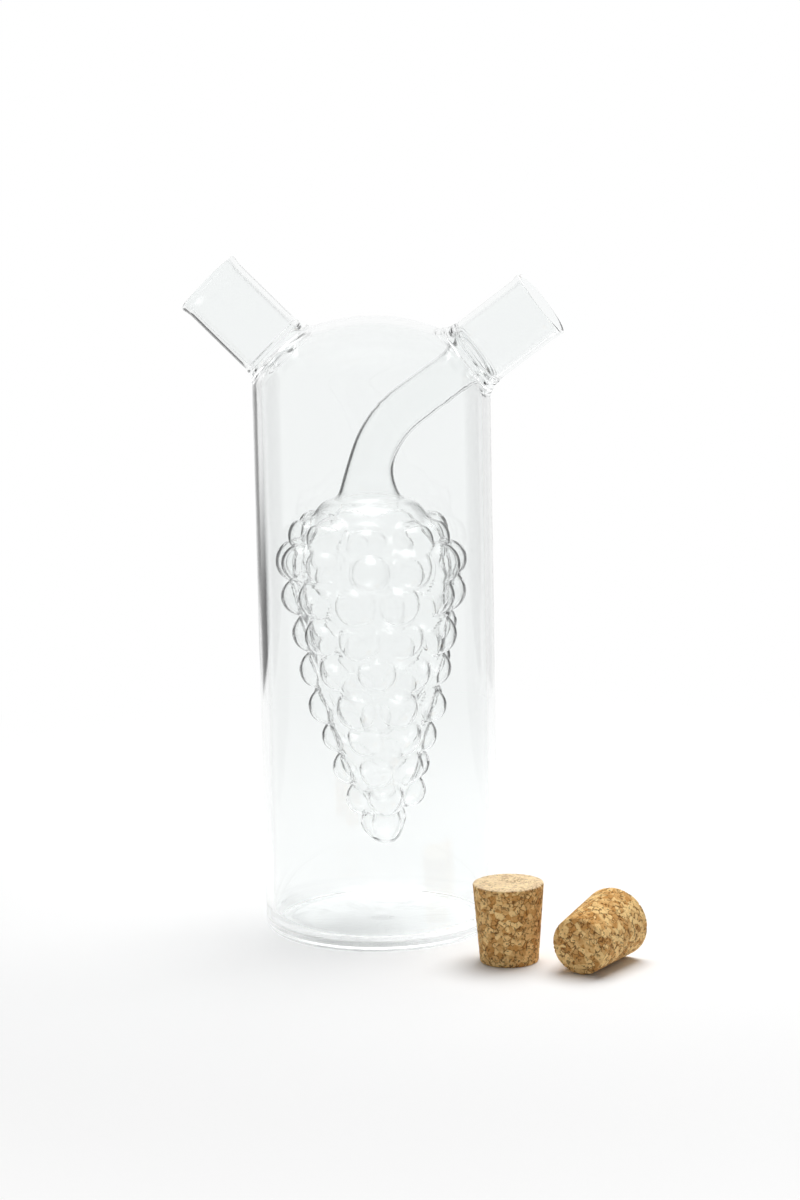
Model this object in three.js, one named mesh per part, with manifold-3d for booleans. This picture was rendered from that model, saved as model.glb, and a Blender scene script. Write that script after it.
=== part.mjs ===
// Two-chamber glass oil and vinegar cruet: a domed outer vessel with two slanted necks, a hollow
// grape bunch hung inside it on a stem tube, and two tapered cork stoppers taken off beside it.
// Millimetres, +Z up, both necks in the XZ plane, origin at the middle of the base.
import * as THREE from "three";
import { mergeVertices } from "three/addons/utils/BufferGeometryUtils.js";
import Module from "manifold-3d";

const wasm = await Module();
wasm.setup();

// Outer vessel: straight tube, rounded shoulder, shallow crown
const BODY_RADIUS = 37.5;
const BODY_WALL = 2.6;
const SHOULDER_HEIGHT = 173.5;
const KNUCKLE_RADIUS = 18;
const CROWN_RADIUS = 58;

// Base: flat floor with a rounded heel, joined to the tube at a level seam
const FLOOR_THICKNESS = 2.4;
const HEEL_RADIUS = 3.5;
const FLOOR_FILLET = 6;
const SEAM_RISE = 1.6;
const TIP_OFF_RADIUS = 4;
const TIP_OFF_HEIGHT = 1;

// Necks: straight tubes with a fire-polished lip and a flared weld on the shoulder
const NECK_RADIUS = 11.2;
const NECK_WALL = 1.6;
const LIP_FLARE = 0.5;
const LIP_LENGTH = 4;
const WELD_FLARE = 2.6;
const WELD_EDGE = 0.4;
const WELD_FADE = 14;
const LEFT_NECK_TILT = 135;
const LEFT_NECK_FOOT_DROP = 17.3;
const LEFT_NECK_LENGTH = 29;
const RIGHT_NECK_TILT = 36.7;
const RIGHT_NECK_FOOT_DROP = 13.6;
const RIGHT_NECK_LENGTH = 25.9;

// Stem tube: flared seal in the right neck's hole, one bend, widening foot on the bunch
const STEM_RADIUS = 7;
const STEM_WALL = 1.4;
const STEM_BEND_RADIUS = 34;
const STEM_DROP = 3.4;
const STEM_FLARE_LENGTH = 9;
const STEM_FOOT_RADIUS = 10.5;
const STEM_FOOT_LENGTH = 16;

// Grape bunch: hollow core and berries, set by its distances from the outer vessel
const BUNCH_SHOULDER_DROP = 22;
const BUNCH_TIP_CLEARANCE = 24;
const BUNCH_SIDE_CLEARANCE = 4.5;
const BUNCH_OFFSET = -1.5;
const BUNCH_TIP_SHIFT = 3;
const BUNCH_TAPER_POWER = 0.95;
const BUNCH_WALL = 1.3;
const BERRY_RADIUS_TOP = 6.4;
const BERRY_RADIUS_TIP = 5;
const BERRY_PROUD = 3.2;
const BERRY_GAP = 0.2;
const LEAST_BERRIES = 3;
const FIRST_ROW_DISTANCE = 9;

// Corks: sized by the neck's bore, standing and lying beside the vessel
const CORK_LENGTH = 25;
const CORK_ENTRY_CLEARANCE = 0.4;
const CORK_GRIP = 1.5;
const CORK_EDGE = 0.5;
const STANDING_CORK_BEARING = -42.8;
const STANDING_CORK_GAP = 12.8;
const LYING_CORK_BEARING = -32.2;
const LYING_CORK_GAP = 37.6;
const LYING_CORK_TURN = 67;

// Fits
const SEAM_GAP = 0.3;
const CUT_OVERRUN = 5;

// Facets round the pieces and steps along their curves
const BODY_FACETS = 40;
const NECK_FACETS = 28;
const STEM_FACETS = 20;
const BUNCH_FACETS = 20;
const CORK_FACETS = 32;
const ARC_STEPS = 4;
const STEM_STEPS = 18;
const BUNCH_STEPS = 12;
const OUTLINE_STEPS = 48;
const BERRY_FACETS = 8;
const BERRY_RINGS = 4;
const EXIT_HALVINGS = 40;
const MERGE_DISTANCE = 1e-4;

const seamHeight = FLOOR_THICKNESS + FLOOR_FILLET + SEAM_RISE;
const neckBore = NECK_RADIUS - NECK_WALL;
const crownCentre = SHOULDER_HEIGHT
  - Math.sqrt((CROWN_RADIUS - KNUCKLE_RADIUS) ** 2 - (BODY_RADIUS - KNUCKLE_RADIUS) ** 2);
const knuckleEnd = Math.atan2(SHOULDER_HEIGHT - crownCentre, BODY_RADIUS - KNUCKLE_RADIUS);

// Solids and meshes

/** A closed geometry as a solid, its shared corners joined and its collapsed faces dropped. */
function toSolid(geometry) {
  const bare = geometry.clone();
  bare.deleteAttribute("normal");
  bare.deleteAttribute("uv");
  const merged = mergeVertices(bare, MERGE_DISTANCE);
  const corners = [];
  const index = merged.index.array;
  for (let i = 0; i < index.length; i += 3) {
    const [a, b, c] = index.slice(i, i + 3);
    if (a !== b && b !== c && c !== a) corners.push(a, b, c);
  }
  return new wasm.Manifold(new wasm.Mesh({
    numProp: 3,
    vertProperties: merged.attributes.position.array,
    triVerts: new Uint32Array(corners),
  }));
}

/** A solid back as a geometry. */
function toGeometry(solid) {
  const mesh = solid.getMesh();
  const geometry = new THREE.BufferGeometry();
  geometry.setAttribute("position", new THREE.BufferAttribute(mesh.vertProperties, 3));
  geometry.setIndex(new THREE.BufferAttribute(mesh.triVerts, 1));
  geometry.computeVertexNormals();
  return geometry;
}

/** A profile of [radius, height] points, wall on the right hand going along it, turned about Z. */
function turned(profile, facets) {
  const points = profile.map(([radius, height]) => new THREE.Vector2(radius, height));
  return new THREE.LatheGeometry(points, facets).rotateX(Math.PI / 2);
}

/** Points of an arc from one angle to another, in degrees. */
function arc(centreRadius, centreHeight, radius, from, to, steps = ARC_STEPS) {
  return Array.from({ length: steps + 1 }, (_, i) => {
    const angle = THREE.MathUtils.degToRad(from + ((to - from) * i) / steps);
    return [centreRadius + radius * Math.cos(angle), centreHeight + radius * Math.sin(angle)];
  });
}

/** Moves every corner of a geometry to where a function of its place puts it. */
function reshape(geometry, place) {
  const position = geometry.attributes.position;
  const corner = new THREE.Vector3();
  for (let i = 0; i < position.count; i += 1) {
    corner.copy(place(corner.fromBufferAttribute(position, i)));
    position.setXYZ(i, corner.x, corner.y, corner.z);
  }
  return geometry;
}

// Outer vessel

/** The shoulder and crown, from the straight wall to the axis, a given depth inside the outside. */
function domeProfile(depth) {
  const knuckleDegrees = THREE.MathUtils.radToDeg(knuckleEnd);
  const centreRadius = BODY_RADIUS - KNUCKLE_RADIUS;
  const knuckle = arc(centreRadius, SHOULDER_HEIGHT, KNUCKLE_RADIUS - depth, 0, knuckleDegrees);
  const crown = arc(0, crownCentre, CROWN_RADIUS - depth, knuckleDegrees, 90);
  const top = [0, crownCentre + CROWN_RADIUS - depth];
  return [...knuckle, ...crown.slice(1, -1), top];
}

/** How far a point lies outside the vessel's outer surface; negative inside. */
function outsideVessel(point) {
  const radius = Math.hypot(point.x, point.y);
  const overKnuckle = radius - (BODY_RADIUS - KNUCKLE_RADIUS);
  const overShoulder = point.z - SHOULDER_HEIGHT;
  if (overShoulder <= 0) return radius - BODY_RADIUS;
  if (Math.atan2(overShoulder, overKnuckle) < knuckleEnd) {
    return Math.hypot(overKnuckle, overShoulder) - KNUCKLE_RADIUS;
  }
  return Math.hypot(radius, point.z - crownCentre) - CROWN_RADIUS;
}

/** A neck's axis: where it leaves the vessel's axis, its direction, and its crosswise direction. */
function neckAxis(tilt, footDrop, length) {
  const angle = THREE.MathUtils.degToRad(tilt);
  return {
    foot: new THREE.Vector3(0, 0, SHOULDER_HEIGHT - footDrop),
    along: new THREE.Vector3(Math.cos(angle), 0, Math.sin(angle)),
    across: new THREE.Vector3(Math.sin(angle), 0, -Math.cos(angle)),
    length,
  };
}

/** The point at a distance along a neck's axis and [across, sideways] from it. */
function neckPoint(axis, distance, across, sideways) {
  return axis.foot.clone()
    .addScaledVector(axis.along, distance)
    .addScaledVector(axis.across, across)
    .add(new THREE.Vector3(0, sideways, 0));
}

/** The distance at which a line along the neck leaves the vessel's outer surface. */
function neckExit(axis, across, sideways) {
  let inside = 0;
  let outside = 2 * (BODY_RADIUS + CROWN_RADIUS);
  for (let i = 0; i < EXIT_HALVINGS; i += 1) {
    const middle = (inside + outside) / 2;
    if (outsideVessel(neckPoint(axis, middle, across, sideways)) < 0) inside = middle;
    else outside = middle;
  }
  return inside;
}

const leftAxis = neckAxis(LEFT_NECK_TILT, LEFT_NECK_FOOT_DROP, LEFT_NECK_LENGTH);
const rightAxis = neckAxis(RIGHT_NECK_TILT, RIGHT_NECK_FOOT_DROP, RIGHT_NECK_LENGTH);

/** The round cutter of a neck's hole, as wide as the neck's bore. */
function neckHole(axis) {
  const length = axis.length + BODY_RADIUS;
  const cutter = new THREE.CylinderGeometry(neckBore, neckBore, length, NECK_FACETS).rotateX(Math.PI / 2);
  return reshape(cutter, (p) => neckPoint(axis, p.z + length / 2 + CUT_OVERRUN, p.x, p.y));
}

/** Straight tube and dome in one wall, with a hole under each neck. */
function bodyTube() {
  const seam = seamHeight + SEAM_GAP;
  const outside = [[BODY_RADIUS, seam], ...domeProfile(0)];
  const inside = [[BODY_RADIUS - BODY_WALL, seam], ...domeProfile(BODY_WALL)];
  const wall = toSolid(turned([...outside, ...inside.reverse(), outside[0]], BODY_FACETS));
  return toGeometry(wall.subtract(toSolid(neckHole(leftAxis))).subtract(toSolid(neckHole(rightAxis))));
}

/** Flat floor with a rounded heel outside, a fillet inside and the tip-off mark at its middle. */
function basePan() {
  const innerRadius = BODY_RADIUS - BODY_WALL;
  const tipOffCurve = (TIP_OFF_RADIUS ** 2 + TIP_OFF_HEIGHT ** 2) / (2 * TIP_OFF_HEIGHT);
  const tipOffCentre = FLOOR_THICKNESS + TIP_OFF_HEIGHT - tipOffCurve;
  const tipOffSpan = THREE.MathUtils.radToDeg(Math.asin(TIP_OFF_RADIUS / tipOffCurve));
  const profile = [
    [0, 0],
    ...arc(BODY_RADIUS - HEEL_RADIUS, HEEL_RADIUS, HEEL_RADIUS, -90, 0),
    [BODY_RADIUS, seamHeight],
    [innerRadius, seamHeight],
    ...arc(innerRadius - FLOOR_FILLET, FLOOR_THICKNESS + FLOOR_FILLET, FLOOR_FILLET, 0, -90),
    ...arc(0, tipOffCentre, tipOffCurve, 90 - tipOffSpan, 90).slice(0, -1),
    [0, FLOOR_THICKNESS + TIP_OFF_HEIGHT],
  ];
  return toGeometry(toSolid(turned(profile, BODY_FACETS)));
}

// Necks

/** A neck tube: heights are measured from the vessel's surface, so its weld follows the shoulder. */
function neck(axis) {
  const weldTop = SEAM_GAP + WELD_EDGE + WELD_FLARE;
  const weldRadius = NECK_RADIUS + WELD_FLARE;
  const lipMiddle = (NECK_RADIUS + neckBore) / 2 + LIP_FLARE;
  const root = Array.from({ length: ARC_STEPS }, (_, i) => [
    neckBore + ((weldRadius - neckBore) * i) / ARC_STEPS, SEAM_GAP,
  ]);
  const profile = [
    ...root,
    [weldRadius, SEAM_GAP],
    ...arc(weldRadius, weldTop, WELD_FLARE, 270, 180),
    [NECK_RADIUS, axis.length - LIP_LENGTH],
    ...arc(lipMiddle, axis.length - NECK_WALL / 2, NECK_WALL / 2, 0, 180),
    [neckBore, axis.length - LIP_LENGTH],
    [neckBore, weldTop],
    root[0],
  ];
  const straightExit = neckExit(axis, 0, 0);
  return toGeometry(toSolid(reshape(turned(profile, NECK_FACETS), (p) => {
    const follow = 1 - THREE.MathUtils.smoothstep(p.z, 0, WELD_FADE);
    const exit = THREE.MathUtils.lerp(straightExit, neckExit(axis, p.x, p.y), follow);
    return neckPoint(axis, exit + p.z, p.x, p.y);
  })));
}

// Grape bunch and its stem

const stemCorner = neckPoint(rightAxis, BUNCH_OFFSET / rightAxis.along.x, 0, 0);
const stemBendReach = STEM_BEND_RADIUS * Math.tan(THREE.MathUtils.degToRad(90 - RIGHT_NECK_TILT) / 2);
const stemFoot = stemCorner.clone().setZ(stemCorner.z - stemBendReach - STEM_DROP);
const bunchTop = stemFoot.z - SEAM_GAP;
const bunchShoulder = bunchTop - BUNCH_SHOULDER_DROP;
const bunchTip = FLOOR_THICKNESS + BUNCH_TIP_CLEARANCE;
const bunchHalfWidth = BODY_RADIUS - BODY_WALL - BUNCH_SIDE_CLEARANCE;

/** The bunch's half width over its berries at a height. */
function bunchReach(height) {
  if (height > bunchShoulder) {
    const rise = (height - bunchShoulder) / BUNCH_SHOULDER_DROP;
    return STEM_FOOT_RADIUS + (bunchHalfWidth - STEM_FOOT_RADIUS) * Math.sqrt(Math.max(0, 1 - rise ** 2));
  }
  const fall = (bunchShoulder - height) / (bunchShoulder - bunchTip);
  return bunchHalfWidth * Math.sqrt(Math.max(0, 1 - fall ** BUNCH_TAPER_POWER));
}

/** The bunch's outline from its mouth to its tip, its points closer together at both ends. */
function bunchOutline() {
  return new THREE.SplineCurve(Array.from({ length: OUTLINE_STEPS + 1 }, (_, i) => {
    const share = i / OUTLINE_STEPS;
    const height = bunchTip + (bunchTop - bunchTip) * (1 + Math.cos(Math.PI * share)) / 2;
    return new THREE.Vector2(bunchReach(height), height);
  }));
}

/** Where the bunch's middle lies at a height: it hangs a little aslant. */
function bunchMiddle(height) {
  return BUNCH_OFFSET + BUNCH_TIP_SHIFT * (bunchTop - height) / (bunchTop - bunchTip);
}

/** The bunch's body between the berries, a given depth inside its surface, aslant as it hangs. */
function bunchCore(depth, mouthRise) {
  const mouth = STEM_FOOT_RADIUS - depth;
  const inset = BERRY_PROUD + depth;
  const outline = bunchOutline();
  const side = Array.from({ length: BUNCH_STEPS - 1 }, (_, i) => {
    const share = (i + 1) / BUNCH_STEPS;
    const at = outline.getPointAt(share);
    const slope = outline.getTangentAt(share);
    return [at.x + slope.y * inset, at.y - slope.x * inset];
  });
  const profile = [
    [0, bunchTip + inset],
    ...side.filter(([radius]) => radius > 0).reverse(),
    [mouth, bunchTop - inset],
    [mouth, bunchTop + mouthRise],
    [0, bunchTop + mouthRise],
  ];
  return toSolid(reshape(turned(profile, BUNCH_FACETS), (p) => p.setX(p.x + bunchMiddle(p.z))));
}

/** Every berry as its middle, outward direction and radius, in staggered rows down the outline. */
function berries() {
  const outline = bunchOutline();
  const length = outline.getLength();
  const list = [];
  let distance = FIRST_ROW_DISTANCE;
  for (let row = 0; distance < length - BERRY_RADIUS_TIP; row += 1) {
    const share = distance / length;
    const radius = THREE.MathUtils.lerp(BERRY_RADIUS_TOP, BERRY_RADIUS_TIP, share);
    const pitch = 2 * radius + BERRY_GAP;
    const at = outline.getPointAt(share);
    const slope = outline.getTangentAt(share);
    const ring = Math.max(0, at.x + slope.y * radius);
    const height = at.y - slope.x * radius;
    const middleX = bunchMiddle(height);
    const count = Math.max(LEAST_BERRIES, Math.floor((2 * Math.PI * ring) / pitch));
    for (let i = 0; i < count; i += 1) {
      const bearing = (2 * Math.PI * (i + (row % 2) / 2)) / count;
      const aside = new THREE.Vector3(Math.cos(bearing), Math.sin(bearing), 0);
      const outward = aside.clone().multiplyScalar(-slope.y).setZ(slope.x);
      const middle = aside.clone().multiplyScalar(ring).add(new THREE.Vector3(middleX, 0, height));
      list.push({ middle, outward, radius });
    }
    distance += pitch;
  }
  const tip = new THREE.Vector3(bunchMiddle(bunchTip), 0, bunchTip + BERRY_RADIUS_TIP);
  return [...list, { middle: tip, outward: new THREE.Vector3(0, 0, -1), radius: BERRY_RADIUS_TIP }];
}

/** One berry, its pole turned outwards. */
function berry({ middle, outward, radius }) {
  const pole = new THREE.Quaternion().setFromUnitVectors(new THREE.Vector3(0, 1, 0), outward);
  const ball = new THREE.SphereGeometry(radius, BERRY_FACETS, BERRY_RINGS).applyQuaternion(pole);
  return toSolid(ball.translate(middle.x, middle.y, middle.z));
}

/** The blown bunch, open at the top where the stem joins it. */
function grapeVessel() {
  const bunch = berries().reduce((solid, one) => solid.add(berry(one)), bunchCore(0, 0));
  return toGeometry(bunch.subtract(bunchCore(BUNCH_WALL, CUT_OVERRUN)));
}

/** The stem's middle line: down the right neck's axis, round one bend, straight down to the bunch. */
function stemPath() {
  const top = neckPoint(rightAxis, neckExit(rightAxis, 0, 0), 0, 0);
  const bendStart = stemCorner.clone().addScaledVector(rightAxis.along, stemBendReach);
  const bendEnd = stemCorner.clone().setZ(stemCorner.z - stemBendReach);
  const path = new THREE.CurvePath();
  path.add(new THREE.LineCurve3(top, bendStart));
  path.add(new THREE.QuadraticBezierCurve3(bendStart, stemCorner, bendEnd));
  path.add(new THREE.LineCurve3(bendEnd, stemFoot));
  return path;
}

/** The stem's outer radius at a distance from its upper and lower ends. */
function stemRadius(fromTop, fromFoot) {
  const seal = neckBore - SEAM_GAP - STEM_RADIUS;
  const foot = STEM_FOOT_RADIUS - STEM_RADIUS;
  return STEM_RADIUS
    + seal * (1 - THREE.MathUtils.smoothstep(fromTop, 0, STEM_FLARE_LENGTH))
    + foot * Math.max(0, 1 - fromFoot / STEM_FOOT_LENGTH) ** 2;
}

/** The bent stem tube, turned straight and then laid along its path. */
function stemTube() {
  const path = stemPath();
  const length = path.getLength();
  const outside = Array.from({ length: STEM_STEPS + 1 }, (_, i) => {
    const share = i / STEM_STEPS;
    return [stemRadius((1 - share) * length, share * length), share * length];
  });
  const inside = outside.map(([radius, height]) => [radius - STEM_WALL, height]).reverse();
  const straight = turned([...outside, ...inside, outside[0]], STEM_FACETS);
  return toGeometry(toSolid(reshape(straight, (p) => {
    const share = THREE.MathUtils.clamp(1 - p.z / length, 0, 1);
    const tangent = path.getTangentAt(share);
    const across = new THREE.Vector3(-tangent.z, 0, tangent.x);
    return path.getPointAt(share).addScaledVector(across, p.x).add(new THREE.Vector3(0, p.y, 0));
  })));
}

// Corks

const corkSmall = neckBore - CORK_ENTRY_CLEARANCE;
const corkLarge = neckBore + CORK_GRIP;

/** A tapered cork, small end down, with eased edges. */
function cork() {
  const profile = [
    [0, 0],
    [corkSmall - CORK_EDGE, 0],
    [corkSmall, CORK_EDGE],
    [corkLarge, CORK_LENGTH - CORK_EDGE],
    [corkLarge - CORK_EDGE, CORK_LENGTH],
    [0, CORK_LENGTH],
  ];
  return toGeometry(toSolid(turned(profile, CORK_FACETS)));
}

/** The point on the table at a bearing from the vessel and a distance from its wall. */
function besideVessel(bearing, distance) {
  const angle = THREE.MathUtils.degToRad(bearing);
  return new THREE.Vector3(Math.cos(angle), Math.sin(angle), 0).multiplyScalar(BODY_RADIUS + distance);
}

/** Laid on its side, small end to the front, its sloping side flat on the table. */
function layDown(mesh) {
  const slope = Math.atan2(corkLarge - corkSmall, CORK_LENGTH);
  const flatDown = Math.PI / CORK_FACETS;
  mesh.geometry.rotateZ(flatDown).translate(0, 0, -CORK_LENGTH / 2).rotateY(Math.PI / 2 - slope);
  mesh.geometry.computeBoundingBox();
  mesh.position.copy(besideVessel(LYING_CORK_BEARING, LYING_CORK_GAP + corkLarge));
  mesh.position.z = -mesh.geometry.boundingBox.min.z;
  mesh.rotation.z = THREE.MathUtils.degToRad(LYING_CORK_TURN);
}

// Assembly

const GLASS = { color: 0xf2f5f4, roughness: 0.02, metalness: 0 };
const CORK = { color: 0xb58a58, roughness: 0.85, metalness: 0 };

/** A named piece with a material of its own. */
function piece(name, geometry, finish) {
  const mesh = new THREE.Mesh(geometry, new THREE.MeshStandardMaterial(finish));
  mesh.name = name;
  return mesh;
}

const cruet = new THREE.Group();
cruet.name = "oil_and_vinegar_cruet";

const vessel = new THREE.Group();
vessel.add(piece("body_tube", bodyTube(), GLASS));
vessel.add(piece("base_pan", basePan(), GLASS));
vessel.add(piece("left_neck", neck(leftAxis), GLASS));
vessel.add(piece("right_neck", neck(rightAxis), GLASS));
vessel.add(piece("stem_tube", stemTube(), GLASS));
vessel.add(piece("grape_vessel", grapeVessel(), GLASS));
cruet.add(vessel);

const standingCork = piece("standing_cork", cork(), CORK);
standingCork.position.copy(besideVessel(STANDING_CORK_BEARING, STANDING_CORK_GAP + corkLarge));
cruet.add(standingCork);

const lyingCork = piece("lying_cork", cork(), CORK);
layDown(lyingCork);
cruet.add(lyingCork);

export default cruet;
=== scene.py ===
"""Looks of a two-chamber glass oil and vinegar cruet with two cork stoppers beside it.

The part's own frame holds: +Z up, both necks in the XZ plane, the camera on the -Y side. Sizes of
the pieces are in millimetres, and a mesh is written in metres when it becomes an object.
"""

import logging
import math
from dataclasses import dataclass, field
from enum import Enum
from typing import Any, Optional, Sequence

import bmesh
import bpy
import numpy as np
from mathutils import Matrix, Vector
from mathutils.geometry import delaunay_2d_cdt


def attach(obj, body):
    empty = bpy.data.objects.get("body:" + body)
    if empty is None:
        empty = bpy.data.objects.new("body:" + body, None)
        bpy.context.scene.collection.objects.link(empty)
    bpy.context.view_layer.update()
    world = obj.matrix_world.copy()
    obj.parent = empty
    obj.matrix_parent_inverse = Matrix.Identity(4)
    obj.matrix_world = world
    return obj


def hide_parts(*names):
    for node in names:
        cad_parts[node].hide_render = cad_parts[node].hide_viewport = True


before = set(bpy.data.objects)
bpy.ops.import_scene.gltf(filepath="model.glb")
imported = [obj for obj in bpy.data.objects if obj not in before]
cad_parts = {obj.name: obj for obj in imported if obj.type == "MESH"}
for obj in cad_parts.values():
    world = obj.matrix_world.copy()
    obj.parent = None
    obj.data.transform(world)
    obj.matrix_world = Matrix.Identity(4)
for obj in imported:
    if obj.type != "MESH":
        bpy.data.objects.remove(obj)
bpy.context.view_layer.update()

MM = 0.001
LOG = logging.getLogger("cruet")

Array = np.ndarray
Colour = tuple[float, float, float, float]
WHITE: Colour = (1.0, 1.0, 1.0, 1.0)


class Body(Enum):
    """Bodies of the part that pieces ride on."""

    VESSEL = "vessel"
    STANDING = "standing_stopper"
    LYING = "lying_stopper"


class Slot(Enum):
    """Material slots of the part's record."""

    GLASS = "glass"
    CORK = "cork"


def smooth_step(value: Array, low: float, high: float) -> Array:
    """Rises smoothly from 0 at low to 1 at high."""
    share = np.clip((value - low) / (high - low), 0.0, 1.0)
    return share * share * (3.0 - 2.0 * share)


def circle(count: int) -> Array:
    """Bearings of evenly spaced points round a circle, in radians."""
    return np.arange(count) * (2.0 * math.pi / count)


def arc(centre: tuple[float, float], radius: float, start: float, end: float, steps: int) -> Array:
    """Points of an arc in a profile.

    Args:
        centre: Middle of the arc as (radius, height).
        radius: Radius of the arc.
        start: First angle, in degrees.
        end: Last angle, in degrees.
        steps: Number of spans between the points.

    Returns:
        Rows of (radius, height).
    """
    angles = np.radians(np.linspace(start, end, steps + 1))
    return np.column_stack((centre[0] + radius * np.cos(angles), centre[1] + radius * np.sin(angles)))


def distances(points: Array) -> Array:
    """How far along a line of points each of them lies."""
    return np.concatenate(([0.0], np.cumsum(np.linalg.norm(np.diff(points, axis=0), axis=1))))


def directions(points: Array) -> Array:
    """Unit directions of a line at each of its points."""
    slopes = np.gradient(points, axis=0)
    return slopes / np.linalg.norm(slopes, axis=1)[:, None]


def level_ring(radius: float, height: float, count: int) -> Array:
    """Rows of (x, y, z) round a level ring about the upright axis."""
    bearings = circle(count)
    return np.column_stack((radius * np.cos(bearings), radius * np.sin(bearings), np.full(count, height)))


def resample(points: Array, spacing: float) -> Array:
    """Points at about even spacing along a line of points, ends kept.

    Args:
        points: The line's points, one in each row.
        spacing: Distance wanted between the new points.

    Returns:
        The new points, one in each row.
    """
    along = distances(points)
    steps = max(1, round(along[-1] / spacing))
    wanted = np.linspace(0.0, along[-1], steps + 1)
    return np.column_stack([np.interp(wanted, along, column) for column in points.T])


def linked(name: str, data: bpy.types.ID) -> bpy.types.Object:
    """Makes an object of some data and links it to the scene.

    Args:
        name: Name of the object.
        data: Its mesh, light or camera.

    Returns:
        The object.
    """
    thing = bpy.data.objects.new(name, data)
    bpy.context.scene.collection.objects.link(thing)
    return thing


class Skin:
    """Corners and faces of a surface being put together, in millimetres."""

    def __init__(self) -> None:
        """Starts with no corners."""
        self.rows: list[Array] = []
        self.faces: list[tuple[int, ...]] = []
        self.count = 0

    def add(self, points: Array) -> Array:
        """Adds corners.

        Args:
            points: Rows of (x, y, z).

        Returns:
            The numbers of the new corners.
        """
        numbers = np.arange(self.count, self.count + len(points))
        self.rows.append(np.asarray(points, float))
        self.count += len(points)
        return numbers

    def bridge(self, first: Array, second: Array) -> None:
        """Joins two closed rings of as many corners with four-sided faces.

        Args:
            first: Corner numbers round one ring.
            second: Corner numbers round the other.
        """
        following = np.roll(first, -1)
        opposite = np.roll(second, -1)
        self.faces += list(zip(first.tolist(), following.tolist(), opposite.tolist(), second.tolist()))

    def strip(self, rings: Sequence[Array]) -> None:
        """Joins each ring of a list to the next."""
        for first, second in zip(rings, rings[1:]):
            self.bridge(first, second)

    def fan(self, ring: Array, middle: Array) -> None:
        """Closes a ring with triangles to a middle point.

        Args:
            ring: Corner numbers round the ring.
            middle: The middle point.
        """
        centre = int(self.add(np.asarray([middle]))[0])
        following = np.roll(ring, -1)
        self.faces += [(int(a), int(b), centre) for a, b in zip(ring, following)]

    def to_object(self, name: str) -> bpy.types.Object:
        """Makes a smooth mesh object in metres, its faces turned outwards.

        Args:
            name: Name of the object and its mesh.

        Returns:
            The object, linked to the scene.
        """
        mesh = bpy.data.meshes.new(name)
        corners = np.concatenate(self.rows) * MM
        mesh.from_pydata(corners.tolist(), [], self.faces)
        work = bmesh.new()
        work.from_mesh(mesh)
        bmesh.ops.recalc_face_normals(work, faces=work.faces)
        open_edges = sum(not edge.is_manifold for edge in work.edges)
        work.to_mesh(mesh)
        work.free()
        if signed_volume(mesh) < 0:
            mesh.flip_normals()
        mesh.shade_smooth()
        LOG.info("%s: %d corners, %d open edges", name, len(mesh.vertices), open_edges)
        return linked(name, mesh)


def signed_volume(mesh: bpy.types.Mesh) -> float:
    """Volume inside a closed mesh, negative where its faces point inwards.

    Args:
        mesh: The mesh.

    Returns:
        The volume in cubic metres.
    """
    mesh.calc_loop_triangles()
    corners = np.empty(len(mesh.vertices) * 3)
    mesh.vertices.foreach_get("co", corners)
    corners = corners.reshape(-1, 3)
    triangles = np.empty(len(mesh.loop_triangles) * 3, np.int32)
    mesh.loop_triangles.foreach_get("vertices", triangles)
    a, b, c = (corners[triangles.reshape(-1, 3)[:, i]] for i in range(3))
    return float(np.einsum("ij,ij->i", a, np.cross(b, c)).sum() / 6.0)


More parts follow.
